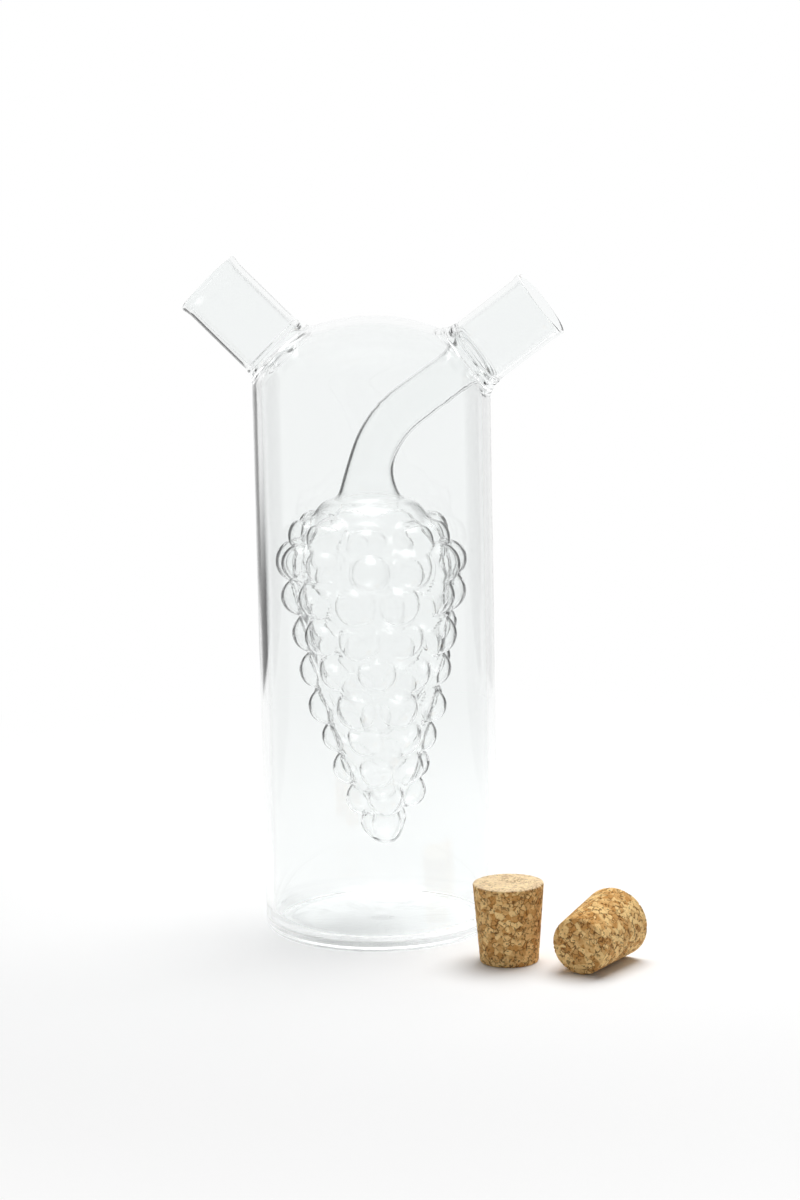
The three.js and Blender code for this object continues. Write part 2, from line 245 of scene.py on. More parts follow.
class Graph:
    """A node tree being wired up."""

    def __init__(self, tree: bpy.types.NodeTree) -> None:
        """Keeps the tree that nodes go into."""
        self.tree = tree

    def add(self, kind: str, inputs: Optional[dict[Any, Any]] = None, **settings: Any) -> bpy.types.Node:
        """Adds a node.

        Args:
            kind: Type name of the node.
            inputs: Values, or sockets to link, by the input's name or number.
            settings: Properties of the node, set before its inputs.

        Returns:
            The node.
        """
        node = self.tree.nodes.new(kind)
        for key, value in settings.items():
            setattr(node, key, value)
        for key, value in (inputs or {}).items():
            if isinstance(value, bpy.types.NodeSocket):
                self.tree.links.new(value, node.inputs[key])
            else:
                node.inputs[key].default_value = value
        return node

    def math(self, operation: str, first: Any, second: Any = 0.0) -> bpy.types.NodeSocket:
        """A Math node's result."""
        return self.add("ShaderNodeMath", {0: first, 1: second}, operation=operation).outputs[0]

    def times(self, first: Any, second: Any) -> bpy.types.NodeSocket:
        """The product of two values."""
        return self.math("MULTIPLY", first, second)

    def over(self, value: Any, limit: float) -> bpy.types.NodeSocket:
        """1 where a value is over a limit, and 0 elsewhere."""
        return self.math("GREATER_THAN", value, limit)

    def vector(self, operation: str, first: Any, second: Any = (0.0, 0.0, 0.0)) -> bpy.types.NodeSocket:
        """A Vector Math node's vector result."""
        return self.add("ShaderNodeVectorMath", {0: first, 1: second}, operation=operation).outputs["Vector"]

    def scaled(self, first: Any, factor: Any) -> bpy.types.NodeSocket:
        """A vector times a number."""
        inputs = {0: first, "Scale": factor}
        return self.add("ShaderNodeVectorMath", inputs, operation="SCALE").outputs["Vector"]

    def dot(self, first: Any, second: Any) -> bpy.types.NodeSocket:
        """The dot product of two vectors."""
        inputs = {0: first, 1: second}
        return self.add("ShaderNodeVectorMath", inputs, operation="DOT_PRODUCT").outputs["Value"]

    def ramp(
        self, value: Any, low: float, high: float, start: float = 0.0, end: float = 1.0
    ) -> bpy.types.NodeSocket:
        """A smooth change from start to end as a value goes from low to high."""
        inputs = {"Value": value, "From Min": low, "From Max": high, "To Min": start, "To Max": end}
        return self.add("ShaderNodeMapRange", inputs, interpolation_type="SMOOTHSTEP").outputs["Result"]

    def mix(self, factor: Any, first: Any, second: Any) -> bpy.types.NodeSocket:
        """A mix of two colours."""
        inputs = {0: factor, 6: first, 7: second}
        return self.add("ShaderNodeMix", inputs, data_type="RGBA").outputs[2]

    def noise(self, place: Any, scale: Any, detail: float, output: Any = 0) -> bpy.types.NodeSocket:
        """A noise texture's value, or another of its outputs."""
        inputs = {"Vector": place, "Scale": scale, "Detail": detail}
        return self.add("ShaderNodeTexNoise", inputs).outputs[output]

    def first_part(self, value: Any) -> bpy.types.NodeSocket:
        """The first of a colour's or vector's three numbers."""
        return self.add("ShaderNodeSeparateXYZ", {0: value}).outputs[0]

    def surface(self, shader: Any, other: Any = None, share: Any = None) -> None:
        """Ends a material's tree with a shader, or with a share of another one over it.

        Args:
            shader: The shader.
            other: Another shader to mix in.
            share: Share of the other shader.
        """
        if other is not None:
            shader = self.add("ShaderNodeMixShader", {0: share, 1: shader, 2: other}).outputs[0]
        self.add("ShaderNodeOutputMaterial", {"Surface": shader})


def blank_material(name: str) -> tuple[bpy.types.Material, Graph]:
    """Makes a material with no nodes yet.

    Args:
        name: Name of the material.

    Returns:
        The material and its graph.
    """
    finish = bpy.data.materials.new(name)
    finish.use_nodes = True
    finish.node_tree.nodes.clear()
    return finish, Graph(finish.node_tree)


def node_group(
    name: str, kind: str, inputs: dict[str, str], output: tuple[str, str]
) -> tuple[Graph, dict[str, str]]:
    """Starts a node group.

    Args:
        name: Name of the group.
        kind: Type name of the tree.
        inputs: Socket types of its inputs by name.
        output: Name and socket type of its output.

    Returns:
        The graph to wire it up in, and the identifiers of its inputs by name.
    """
    tree = bpy.data.node_groups.new(name, kind)
    sockets = {
        title: tree.interface.new_socket(title, in_out="INPUT", socket_type=socket).identifier
        for title, socket in inputs.items()
    }
    tree.interface.new_socket(output[0], in_out="OUTPUT", socket_type=output[1])
    return Graph(tree), sockets


# Glass vessel


@dataclass(frozen=True)
class VesselForm:
    """Outside of the vessel: a straight wall, a rounded shoulder and a shallow crown."""

    radius: float = 37.5
    wall: float = 2.6
    shoulder_height: float = 173.5
    knuckle_radius: float = 18.0
    crown_radius: float = 58.0

    @property
    def knuckle_middle(self) -> float:
        """Distance of the shoulder arc's middle from the axis."""
        return self.radius - self.knuckle_radius

    @property
    def crown_centre(self) -> float:
        """Height of the crown arc's middle.

        Returns:
            The height, below the shoulder's own.
        """
        return self.shoulder_height - math.sqrt(
            (self.crown_radius - self.knuckle_radius) ** 2 - self.knuckle_middle**2
        )

    @property
    def knuckle_end(self) -> float:
        """Angle above the level at which the shoulder meets the crown."""
        return math.atan2(self.shoulder_height - self.crown_centre, self.knuckle_middle)

    def outside(self, points: Array, depth: float) -> Array:
        """How far points lie outside the surface a given depth inside the outer one.

        Args:
            points: Rows of (x, y, z).
            depth: Distance inside the outer surface.

        Returns:
            One signed distance for each point.
        """
        radius = np.hypot(points[:, 0], points[:, 1])
        over_middle = radius - self.knuckle_middle
        over_shoulder = points[:, 2] - self.shoulder_height
        on_knuckle = np.arctan2(over_shoulder, over_middle) < self.knuckle_end
        wall = radius - self.radius
        knuckle = np.hypot(over_middle, over_shoulder) - self.knuckle_radius
        crown = np.hypot(radius, points[:, 2] - self.crown_centre) - self.crown_radius
        return np.where(over_shoulder <= 0, wall, np.where(on_knuckle, knuckle, crown)) + depth

    def spans(self, depth: float) -> tuple[float, float]:
        """Lengths of the crown and the shoulder along the profile, a given depth inside."""
        crown = (self.crown_radius - depth) * (math.pi / 2 - self.knuckle_end)
        return crown, (self.knuckle_radius - depth) * self.knuckle_end

    def place(self, flat: Array, depth: float) -> Array:
        """Points of the surface from a flat map of it.

        Args:
            flat: Rows of (u, v), whose length is the distance from the top along the profile.
            depth: Distance inside the outer surface.

        Returns:
            Rows of (x, y, z).
        """
        along = np.hypot(flat[:, 0], flat[:, 1])
        bearing = np.arctan2(flat[:, 1], flat[:, 0])
        crown, knuckle = self.spans(depth)
        crown_arc = self.crown_radius - depth
        knuckle_arc = self.knuckle_radius - depth
        on_crown = along / crown_arc
        on_knuckle = math.pi / 2 - self.knuckle_end + (along - crown) / knuckle_arc
        below = along - crown - knuckle
        radius = np.where(
            along < crown,
            crown_arc * np.sin(on_crown),
            np.where(below < 0, self.knuckle_middle + knuckle_arc * np.sin(on_knuckle), self.radius - depth),
        )
        height = np.where(
            along < crown,
            self.crown_centre + crown_arc * np.cos(on_crown),
            self.shoulder_height + np.where(below < 0, knuckle_arc * np.cos(on_knuckle), -below),
        )
        return np.column_stack((radius * np.cos(bearing), radius * np.sin(bearing), height))

    def flatten(self, points: Array, depth: float) -> Array:
        """Where points of the surface lie on its flat map, the reverse of place.

        Args:
            points: Rows of (x, y, z).
            depth: Distance inside the outer surface.

        Returns:
            Rows of (u, v).
        """
        radius = np.hypot(points[:, 0], points[:, 1])
        over_middle = radius - self.knuckle_middle
        over_shoulder = points[:, 2] - self.shoulder_height
        crown, knuckle = self.spans(depth)
        on_crown = np.arctan2(radius, points[:, 2] - self.crown_centre)
        on_knuckle = np.arctan2(over_middle, over_shoulder) - (math.pi / 2 - self.knuckle_end)
        along = np.where(
            over_shoulder <= 0,
            crown + knuckle - over_shoulder,
            np.where(
                np.arctan2(over_shoulder, over_middle) < self.knuckle_end,
                crown + (self.knuckle_radius - depth) * on_knuckle,
                (self.crown_radius - depth) * on_crown,
            ),
        )
        bearing = np.arctan2(points[:, 1], points[:, 0])
        return np.column_stack((along * np.cos(bearing), along * np.sin(bearing)))


@dataclass(frozen=True)
class Neck:
    """A straight slanted tube with a fire-polished lip and a weld that flows into the shoulder."""

    form: VesselForm
    tilt: float
    foot_drop: float
    length: float
    radius: float = 11.2
    wall: float = 1.6
    lip_flare: float = 0.5
    lip_length: float = 4.0
    weld_flare: float = 2.4
    weld_rise: float = 0.6
    bead_rise: float = 0.3
    bead_height: float = 0.9
    bead_step: float = 0.8
    collar_depth: float = 3.2
    collar_round: float = 0.6
    root_flare: float = 1.3
    facets: int = 160
    halvings: int = 40
    weld_rings: int = 13
    bead_rings: int = 14
    tube_rings: int = 12
    lip_rings: int = 8
    edge_steps: int = 12
    bore_rings: int = 16
    collar_steps: int = 8
    root_rings: int = 9

    @property
    def bore(self) -> float:
        """Inner radius."""
        return self.radius - self.wall

    @property
    def along(self) -> Array:
        """Direction of the neck's axis, outwards."""
        angle = math.radians(self.tilt)
        return np.array((math.cos(angle), 0.0, math.sin(angle)))

    @property
    def across(self) -> Array:
        """Direction across the neck in the plane of both necks."""
        angle = math.radians(self.tilt)
        return np.array((math.sin(angle), 0.0, -math.cos(angle)))

    def point(self, distance: Array, across: Array, sideways: Array) -> Array:
        """Points at distances along the axis and beside it.

        Args:
            distance: How far along the axis each point lies.
            across: How far across it, in the plane of both necks.
            sideways: How far to the side of that plane.

        Returns:
            Rows of (x, y, z).
        """
        foot = np.array((0.0, 0.0, self.form.shoulder_height - self.foot_drop))
        sides = np.column_stack((np.zeros_like(sideways), sideways, np.zeros_like(sideways)))
        return foot + np.outer(distance, self.along) + np.outer(across, self.across) + sides

    def exit(self, across: Array, sideways: Array, depth: float) -> Array:
        """Distances at which lines along the neck leave a surface of the vessel.

        Args:
            across: How far each line lies across the axis.
            sideways: How far each line lies to the side.
            depth: Depth of the surface inside the vessel's outer one.

        Returns:
            One distance along the axis for each line.
        """
        inside = np.zeros_like(across)
        outside = np.full_like(across, 2.0 * (self.form.radius + self.form.crown_radius))
        for _ in range(self.halvings):
            middle = (inside + outside) / 2.0
            under = self.form.outside(self.point(middle, across, sideways), depth) < 0
            inside = np.where(under, middle, inside)
            outside = np.where(under, outside, middle)
        return inside

    @property
    def plane(self) -> float:
        """Distance along the axis at which the neck's front and back leave the vessel."""
        return float(self.exit(np.zeros(1), np.array([self.radius]), 0.0)[0])

    @property
    def mouth(self) -> float:
        """Height of the lip over that plane."""
        return float(self.exit(np.zeros(1), np.zeros(1), 0.0)[0]) + self.length - self.plane

    def ring(self, radius: float, height: float, hug: float, depth: float) -> Array:
        """A ring round the neck, level with its mouth or hugging the vessel.

        Args:
            radius: Radius of the ring.
            height: Height over the weld's plane, along the axis.
            hug: How closely it follows the vessel instead: 0 is level, and 1 lies on the vessel.
            depth: Depth of the surface that it follows inside the vessel's outer one.

        Returns:
            Rows of (x, y, z).
        """
        bearings = circle(self.facets)
        across = radius * np.cos(bearings)
        sideways = radius * np.sin(bearings)
        level = self.plane + height
        return self.point(level + (self.exit(across, sideways, depth) - level) * hug, across, sideways)

    @property
    def weld_radius(self) -> float:
        """Radius at which the weld has flowed into the vessel's outside."""
        return self.radius + self.bead_rise + self.weld_flare

    @property
    def root_radius(self) -> float:
        """Radius at which the collar has flowed into the vessel's inside."""
        return self.bore + self.collar_round + self.root_flare

    def outer_profile(self) -> Array:
        """The outside of the neck, from its weld to the top of its lip.

        Returns:
            Rows of (radius, height, hug).
        """
        turn = np.linspace(0.0, math.pi / 2.0, self.weld_rings)
        foot = np.column_stack((
            self.weld_radius - self.weld_flare * np.sin(turn),
            self.weld_rise * (1.0 - np.cos(turn)),
            np.cos(turn) ** 2,
        ))
        bead_top = self.weld_rise + self.bead_height
        heights = np.concatenate((
            np.linspace(self.weld_rise, bead_top + self.bead_step, self.bead_rings)[1:],
            np.linspace(bead_top + self.bead_step, self.mouth - self.lip_length, self.tube_rings)[1:],
        ))
        bead = self.bead_rise * (1.0 - smooth_step(heights, bead_top, bead_top + self.bead_step))
        tube = np.column_stack((self.radius + bead, heights))
        rise = np.linspace(0.0, 1.0, self.lip_rings)[1:-1]
        half = self.wall / 2.0
        top = self.mouth - half
        lip = np.column_stack((
            self.radius + self.lip_flare * smooth_step(rise, 0.0, 1.0),
            self.mouth - self.lip_length + rise * (top - self.mouth + self.lip_length),
        ))
        edge = arc((self.radius - half + self.lip_flare, top), half, 0.0, 180.0, self.edge_steps)
        level = np.concatenate((tube, lip, edge))
        return np.concatenate((foot, np.column_stack((level, np.zeros(len(level))))))

    def inner_profile(self) -> Array:
        """The inside of the neck, from below its lip, round the collar, to the vessel.

        Returns:
            Rows of (radius, height, hug).
        """
        bottom = self.mouth - self.lip_length
        rise = np.linspace(1.0, 0.0, self.lip_rings)[1:]
        lip = np.column_stack((
            self.bore + self.lip_flare * smooth_step(rise, 0.0, 1.0),
            bottom + rise * (self.mouth - self.wall / 2.0 - bottom),
        ))
        heights = np.linspace(bottom, self.collar_round - self.collar_depth, self.bore_rings)[1:-1]
        tube = np.column_stack((np.full_like(heights, self.bore), heights))
        middle = (self.bore + self.collar_round, self.collar_round - self.collar_depth)
        collar = arc(middle, self.collar_round, 180.0, 270.0, self.collar_steps)
        level = np.concatenate((lip, tube, collar))
        share = np.linspace(0.0, 1.0, self.root_rings)[1:]
        root = np.column_stack((
            middle[0] + self.root_flare * share,
            np.full_like(share, -self.collar_depth),
            smooth_step(share, 0.0, 1.0),
        ))
        return np.concatenate((np.column_stack((level, np.zeros(len(level)))), root))


@dataclass
class VesselShell:
    """The fused outer vessel: tube, dome and base in one wall, with both necks sealed on."""

    form: VesselForm
    necks: Sequence[Neck]
    floor_thickness: float = 2.4
    heel_radius: float = 3.5
    floor_fillet: float = 6.0
    tip_off_radius: float = 6.0
    tip_off_height: float = 0.5
    dome_foot: float = 146.0
    facets: int = 192
    grid: float = 2.6
    guards: Sequence[float] = (1.05, 1.13, 1.26, 1.45)
    widest_share: float = 1.2
    least_corners: int = 6
    merge_distance: float = 1e-6
    outer_levels: Sequence[float] = (110.0, 60.0, 20.0, 8.0)
    inner_levels: Sequence[float] = (110.0, 60.0, 20.0, 12.0)
    under_radii: Sequence[float] = (30.0, 20.0, 10.0, 4.0)
    floor_radii: Sequence[float] = (22.0, 14.0, 8.0)
    heel_steps: int = 14
    fillet_steps: int = 16
    tip_off_rings: int = 9

    def dome(self, skin: Skin, depth: float, holes: Sequence[Array], radii: Sequence[float]) -> Array:
        """Covers the dome round the necks' holes.

        Args:
            skin: Surface that the corners and faces go into.
            depth: Depth of this surface inside the outer one.
            holes: Corner numbers of the ring round each neck's hole.
            radii: Radius of each ring about its neck's axis.

        Returns:
            Corner numbers of the dome's lower edge.
        """
        form = self.form
        crown, knuckle = form.spans(depth)
        edge_along = crown + knuckle + form.shoulder_height - self.dome_foot
        edge_flat = edge_along * np.column_stack((np.cos(circle(self.facets)), np.sin(circle(self.facets))))
        edge = skin.add(form.place(edge_flat, depth))
        corners = np.concatenate(skin.rows)
        flats = [edge_flat, *(form.flatten(corners[hole], depth) for hole in holes)]
        known = [edge, *holes]
        loose = self.loose_points(depth, edge_along, radii)
        sizes = [len(ring) for ring in known]
        starts = np.cumsum([0, *sizes])
        links = [
            (int(start + i), int(start + (i + 1) % size))
            for start, size in zip(starts, sizes)
            for i in range(size)
        ]
        flat = np.concatenate((*flats, loose))
        places = [Vector(point) for point in flat]
        _, _, faces, sources, _, _ = delaunay_2d_cdt(places, links, [], 0, self.merge_distance)
        numbers = np.concatenate((*known, skin.add(form.place(loose, depth))))
        origin = [ids[0] for ids in sources]
        ring_of = np.full(len(flat), -1)
        for number, (start, size) in enumerate(zip(starts, sizes)):
            ring_of[start:start + size] = number
        for face in faces:
            inputs = [origin[i] for i in face]
            rings = {int(ring_of[i]) for i in inputs}
            if len(rings) > 1 or rings <= {-1, 0}:
                skin.faces.append(tuple(int(numbers[i]) for i in inputs))
        return edge

    def loose_points(self, depth: float, edge_along: float, radii: Sequence[float]) -> Array:
        """Flat places of the dome's corners away from its edge and its holes.

        Args:
            depth: Depth of the surface inside the outer one.
            edge_along: Distance of the lower edge from the top, along the profile.
            radii: Radius of each hole's ring about its neck's axis.

        Returns:
            Rows of (u, v).
        """
        form = self.form
        rings = [np.zeros((1, 2))]
        for along in np.arange(self.grid, edge_along - self.grid / 2.0, self.grid):
            reach = min(along, form.radius * self.widest_share)
            count = max(self.least_corners, round(2.0 * math.pi * reach / self.grid))
            bearings = circle(count) + along
            rings.append(along * np.column_stack((np.cos(bearings), np.sin(bearings))))
        flat = np.concatenate(rings)
        points = form.place(flat, depth)
        keep = np.ones(len(flat), bool)
        guards = []
        for neck, radius in zip(self.necks, radii):
            beside = points - neck.point(np.zeros(1), np.zeros(1), np.zeros(1))
            onward = beside @ neck.along
            off_axis = np.linalg.norm(beside - np.outer(onward, neck.along), axis=1)
            keep &= (off_axis > radius * self.guards[-1] + self.grid / 2.0) | (onward < 0)
            for scale in self.guards:
                bearings = circle(round(neck.facets / (scale * scale)))
                across = radius * scale * np.cos(bearings)
                sideways = radius * scale * np.sin(bearings)
                distance = neck.exit(across, sideways, depth)
                guards.append(form.flatten(neck.point(distance, across, sideways), depth))
        return np.concatenate((flat[keep], *guards))

    def turned(self, skin: Skin, profile: Array) -> list[Array]:
        """Adds rings of a profile of (radius, height) rows turned about the axis."""
        return [skin.add(level_ring(radius, height, self.facets)) for radius, height in profile]

    def build(self) -> bpy.types.Object:
        """Makes the fused shell.

        Returns:
            The object, with no material yet.
        """
        form = self.form
        skin = Skin()
        outer_holes, inner_holes = [], []
        for neck in self.necks:
            outer = [skin.add(neck.ring(*row, 0.0)) for row in neck.outer_profile()]
            inner = [skin.add(neck.ring(*row, form.wall)) for row in neck.inner_profile()]
            skin.strip([*outer, *inner])
            outer_holes.append(outer[0])
            inner_holes.append(inner[-1])
        weld_radii = [neck.weld_radius for neck in self.necks]
        root_radii = [neck.root_radius for neck in self.necks]
        outer_edge = self.dome(skin, 0.0, outer_holes, weld_radii)
        inner_edge = self.dome(skin, form.wall, inner_holes, root_radii)
        outer = self.turned(skin, self.outer_base())
        skin.strip([outer_edge, *outer])
        skin.fan(outer[-1], np.zeros(3))
        inner = self.turned(skin, self.inner_base())
        skin.strip([inner_edge, *inner])
        skin.fan(inner[-1], np.array((0.0, 0.0, self.floor_thickness + self.tip_off_height)))
        return skin.to_object("vessel_shell")

    def outer_base(self) -> Array:
        """The outside, down the wall, round the heel and under the base.

        Returns:
            Rows of (radius, height).
        """
        form = self.form
        wall = [(form.radius, height) for height in self.outer_levels]
        middle = (form.radius - self.heel_radius, self.heel_radius)
        heel = arc(middle, self.heel_radius, 0.0, -90.0, self.heel_steps)
        under = [(radius, 0.0) for radius in self.under_radii]
        return np.concatenate((wall, heel, under))

    def inner_base(self) -> Array:
        """The inside, down the wall, round the fillet and over the floor.

        Returns:
            Rows of (radius, height).
        """
        inner = self.form.radius - self.form.wall
        wall = [(inner, height) for height in self.inner_levels]
        middle = (inner - self.floor_fillet, self.floor_thickness + self.floor_fillet)
        fillet = arc(middle, self.floor_fillet, 0.0, -90.0, self.fillet_steps)
        floor = [(radius, self.floor_thickness) for radius in self.floor_radii]
        radii = np.linspace(self.tip_off_radius, 0.0, self.tip_off_rings)[:-1]
        swell = 0.5 + 0.5 * np.cos(math.pi * radii / self.tip_off_radius)
        tip_off = np.column_stack((radii, self.floor_thickness + self.tip_off_height * swell))
        return np.concatenate((wall, fillet, floor, tip_off))


# Stem and grape bunch


@dataclass
class StemAndBunch:
    """The bent stem tube and the hollow blown bunch of grapes that hangs on it, in one wall."""

    form: VesselForm
    neck: Neck
    stem_radius: float = 7.0
    stem_wall: float = 0.8
    bend_radius: float = 34.0
    stem_drop: float = 3.4
    flare_length: float = 9.0
    seal_gap: float = 0.3
    foot_radius: float = 10.5
    foot_length: float = 16.0
    shoulder_drop: float = 22.0
    floor_thickness: float = 2.4
    tip_clearance: float = 24.0
    side_clearance: float = 4.5
    offset: float = -1.5
    tip_shift: float = 3.0
    taper_power: float = 0.95
    shoulder_ease: float = 0.05
    bunch_wall: float = 0.7
    berry_radius_top: float = 6.8
    berry_radius_tip: float = 5.0
    valley_depth: float = 5.0
    valley_round: float = 3.8
    berry_gap: float = 0.2
    least_berries: int = 3
    first_row: float = 15.0
    last_row: float = 9.5
    facets: int = 208
    spacing: float = 0.8
    scatter: float = 1.1
    radius_spread: float = 0.1
    row_turn: float = 0.3
    flow_length: float = 5.0
    mouth_rim: float = 3.0
    mouth_fall: float = 14.0
    swell_start: float = 7.0
    swell_full: float = 19.0
    outline_points: int = 800
    outline_spacing: float = 0.2
    least_radius: float = 0.4
    bend_points: int = 60
    flow_points: int = 40
    rim_steps: int = 8
    seed: int = 11

    @property
    def corner(self) -> Array:
        """Where the stem's slanted and upright middle lines would meet."""
        distance = np.array([self.offset / self.neck.along[0]])
        return self.neck.point(distance, np.zeros(1), np.zeros(1))[0]

    @property
    def bend_reach(self) -> float:
        """Distance from that corner to each end of the bend."""
        return self.bend_radius * math.tan(math.radians(90.0 - self.neck.tilt) / 2.0)

    @property
    def top(self) -> float:
        """Height of the bunch's mouth, at the stem's foot."""
        return float(self.corner[2]) - self.bend_reach - self.stem_drop

    @property
    def shoulder(self) -> float:
        """Height at which the bunch is widest."""
        return self.top - self.shoulder_drop

    @property
    def tip(self) -> float:
        """Height of the bunch's lowest point."""
        return self.floor_thickness + self.tip_clearance

    @property
    def half_width(self) -> float:
        """Greatest distance of the berries from the bunch's middle."""
        return self.form.radius - self.form.wall - self.side_clearance

    def middle(self, height: float) -> float:
        """Where the bunch's middle lies: it hangs a little aslant."""
        share = np.clip((self.top - height) / (self.top - self.tip), 0.0, 1.0)
        return self.offset + self.tip_shift * float(share)

    def outline(self) -> Array:
        """The reach over the berries, from the mouth to the tip.

        Returns:
            Rows of (reach, height), evenly spaced.
        """
        share = np.linspace(0.0, 1.0, self.outline_points)
        heights = self.tip + (self.top - self.tip) * (1.0 + np.cos(math.pi * share)) / 2.0
        rise = np.clip((heights - self.shoulder) / self.shoulder_drop, 0.0, 1.0)
        fall = np.clip((self.shoulder - heights) / (self.shoulder - self.tip), 0.0, 1.0)
        ease = self.shoulder_ease
        fall = (np.hypot(fall, ease) - ease) / (math.hypot(1.0, ease) - ease)
        upper = self.foot_radius + (self.half_width - self.foot_radius) * np.sqrt(1.0 - rise**2)
        lower = self.half_width * np.sqrt(1.0 - fall**self.taper_power)
        reach = np.where(rise > 0, upper, lower)
        return resample(np.column_stack((reach, heights)), self.outline_spacing)

    def inset(self, depth: float) -> Array:
        """The core between the berries, as high as the berries only at its mouth.

        Args:
            depth: Depth inside the core's outside.

        Returns:
            Rows of (radius, height), mouth first.
        """
        line = self.outline()
        sunk = depth + self.valley_depth * smooth_step(distances(line), self.mouth_rim, self.mouth_fall)
        slope = directions(line)
        moved = line + sunk[:, None] * np.column_stack((slope[:, 1], -slope[:, 0]))
        clear = moved[:, 0] > self.least_radius
        return np.concatenate((moved[clear], [(0.0, self.tip + self.valley_depth + depth)]))

    def stem_line(self) -> Array:
        """The stem's middle line, from its seal down to the end of its bend.

        Returns:
            Rows of (x, z), evenly spaced.
        """
        level = np.zeros(1)
        start = self.neck.point(self.neck.exit(level, level, 0.0), level, level)[0]
        bend_start = self.corner + self.neck.along * self.bend_reach
        bend_end = self.corner - np.array((0.0, 0.0, self.bend_reach))
        share = np.linspace(0.0, 1.0, self.bend_points)[:, None]
        bend = (
            (1.0 - share) ** 2 * bend_start
            + 2.0 * share * (1.0 - share) * self.corner
            + share**2 * bend_end
        )
        return resample(np.concatenate(([start], bend))[:, [0, 2]], self.spacing)

    def stem_radii(self, line: Array) -> Array:
        """The stem's radius along its middle line: flared at its seal and its foot.

        Args:
            line: Rows of (x, z) down the middle line.

        Returns:
            One outer radius for each row.
        """
        from_top = distances(line)
        from_foot = from_top[-1] + self.stem_drop - from_top
        seal = self.neck.bore - self.seal_gap - self.stem_radius
        foot = self.foot_radius - self.stem_radius
        return (
            self.stem_radius
            + seal * (1.0 - smooth_step(from_top, 0.0, self.flare_length))
            + foot * np.clip(1.0 - from_foot / self.foot_length, 0.0, 1.0) ** 2
        )

    def bunch_profile(self, radii: Array, depth: float) -> Array:
        """Rows of (radius, height) from the end of the stem's bend to the tip.

        Args:
            radii: Radii down the stem, whose flare flows on into the bunch's shoulder.
            depth: Depth inside the bunch's skin between its berries.

        Returns:
            The rows, about evenly spaced.
        """
        inset = self.inset(depth)
        rest = inset[np.searchsorted(distances(inset), self.flow_length):]
        begin = np.array((radii[-1], float(self.corner[2]) - self.bend_reach))
        leave = np.array((radii[-1] - radii[-2], -self.spacing)) / self.spacing
        arrive = (rest[1] - rest[0]) / np.linalg.norm(rest[1] - rest[0])
        pull = np.linalg.norm(rest[0] - begin) / 2.0
        share = np.linspace(0.0, 1.0, self.flow_points)[:, None]
        flow = (
            (1.0 - share) ** 3 * begin
            + 3.0 * share * (1.0 - share) ** 2 * (begin + leave * pull)
            + 3.0 * share**2 * (1.0 - share) * (rest[0] - arrive * pull)
            + share**3 * rest[0]
        )
        return resample(np.concatenate((flow, rest[1:])), self.spacing)

    def berry_radius(self, share: float) -> float:
        """Usual radius of a berry, at a share of the way down the outline."""
        return self.berry_radius_top + (self.berry_radius_tip - self.berry_radius_top) * share

    def rows(self, length: float) -> Array:
        """Where the rows of berries lie along the outline.

        Args:
            length: Length of the outline.

        Returns:
            One distance for each row, from the mouth.
        """
        rows = [self.first_row]
        while rows[-1] < length - self.last_row:
            rows.append(rows[-1] + 2.0 * self.berry_radius(rows[-1] / length) + self.berry_gap)
        stretch = (length - self.last_row - self.first_row) / (rows[-1] - self.first_row)
        return self.first_row + (np.array(rows) - self.first_row) * stretch

    def berries(self) -> tuple[Array, Array]:
        """Middles and radii of the berries, in staggered rows down the outline.

        Returns:
            Rows of (x, y, z), and one radius for each.
        """
        rng = np.random.default_rng(self.seed)
        line = self.outline()
        along = distances(line)
        slopes = directions(line)
        middles, radii = [], []
        for row, distance in enumerate(self.rows(along[-1])):
            radius = self.berry_radius(distance / along[-1])
            at = np.array([np.interp(distance, along, line[:, i]) for i in range(2)])
            slope = np.array([np.interp(distance, along, slopes[:, i]) for i in range(2)])
            ring = max(0.0, at[0] + slope[1] * radius)
            height = at[1] - slope[0] * radius
            room = 2.0 * math.pi * ring / (2.0 * radius + self.berry_gap)
            count = max(self.least_berries, math.floor(room))
            turn = (row % 2 + rng.uniform(-self.row_turn, self.row_turn)) * math.pi / count
            for bearing in circle(count) + turn:
                x = ring * math.cos(bearing) + self.middle(height)
                place = (x, ring * math.sin(bearing), height)
                middles.append(np.array(place) + rng.uniform(-self.scatter, self.scatter, 3))
                radii.append(radius * (1.0 + rng.uniform(-self.radius_spread, self.radius_spread)))
        middles.append(np.array((self.middle(self.tip), 0.0, self.tip + self.berry_radius_tip)))
        radii.append(self.berry_radius_tip)
        return np.array(middles), np.array(radii)

    def build(self, finish: bpy.types.Material) -> bpy.types.Object:
        """Makes the stem and the bunch, its berries swelled out of its core.

        Args:
            finish: Glass of the piece.

        Returns:
            The object, with its material.
        """
        skin = Skin()
        layers: dict[str, list[Array]] = {"core": [], "outward": [], "swell": []}
        outer = self.side(skin, layers, 0.0, 0.0)
        inner = self.side(skin, layers, self.stem_wall, self.bunch_wall)
        rim = self.rim(skin, layers)
        skin.strip([outer[0], *rim, inner[0]])
        piece = skin.to_object("stem_and_bunch")
        for name, rows in layers.items():
            values = np.concatenate(rows)
            kind = "FLOAT" if values.ndim == 1 else "FLOAT_VECTOR"
            layer = piece.data.attributes.new(name, kind, "POINT")
            layer.data.foreach_set("value" if values.ndim == 1 else "vector", values.ravel())
        middles, radii = self.berries()
        marks = bpy.data.meshes.new("berry_middles")
        marks.from_pydata((middles * MM).tolist(), [], [])
        marks.attributes.new("radius", "FLOAT", "POINT").data.foreach_set("value", radii * MM)
        holder = linked("berry_middles", marks)
        BerrySwelling(finish, holder, self.valley_round).apply(piece)
        bpy.data.objects.remove(holder)
        return piece

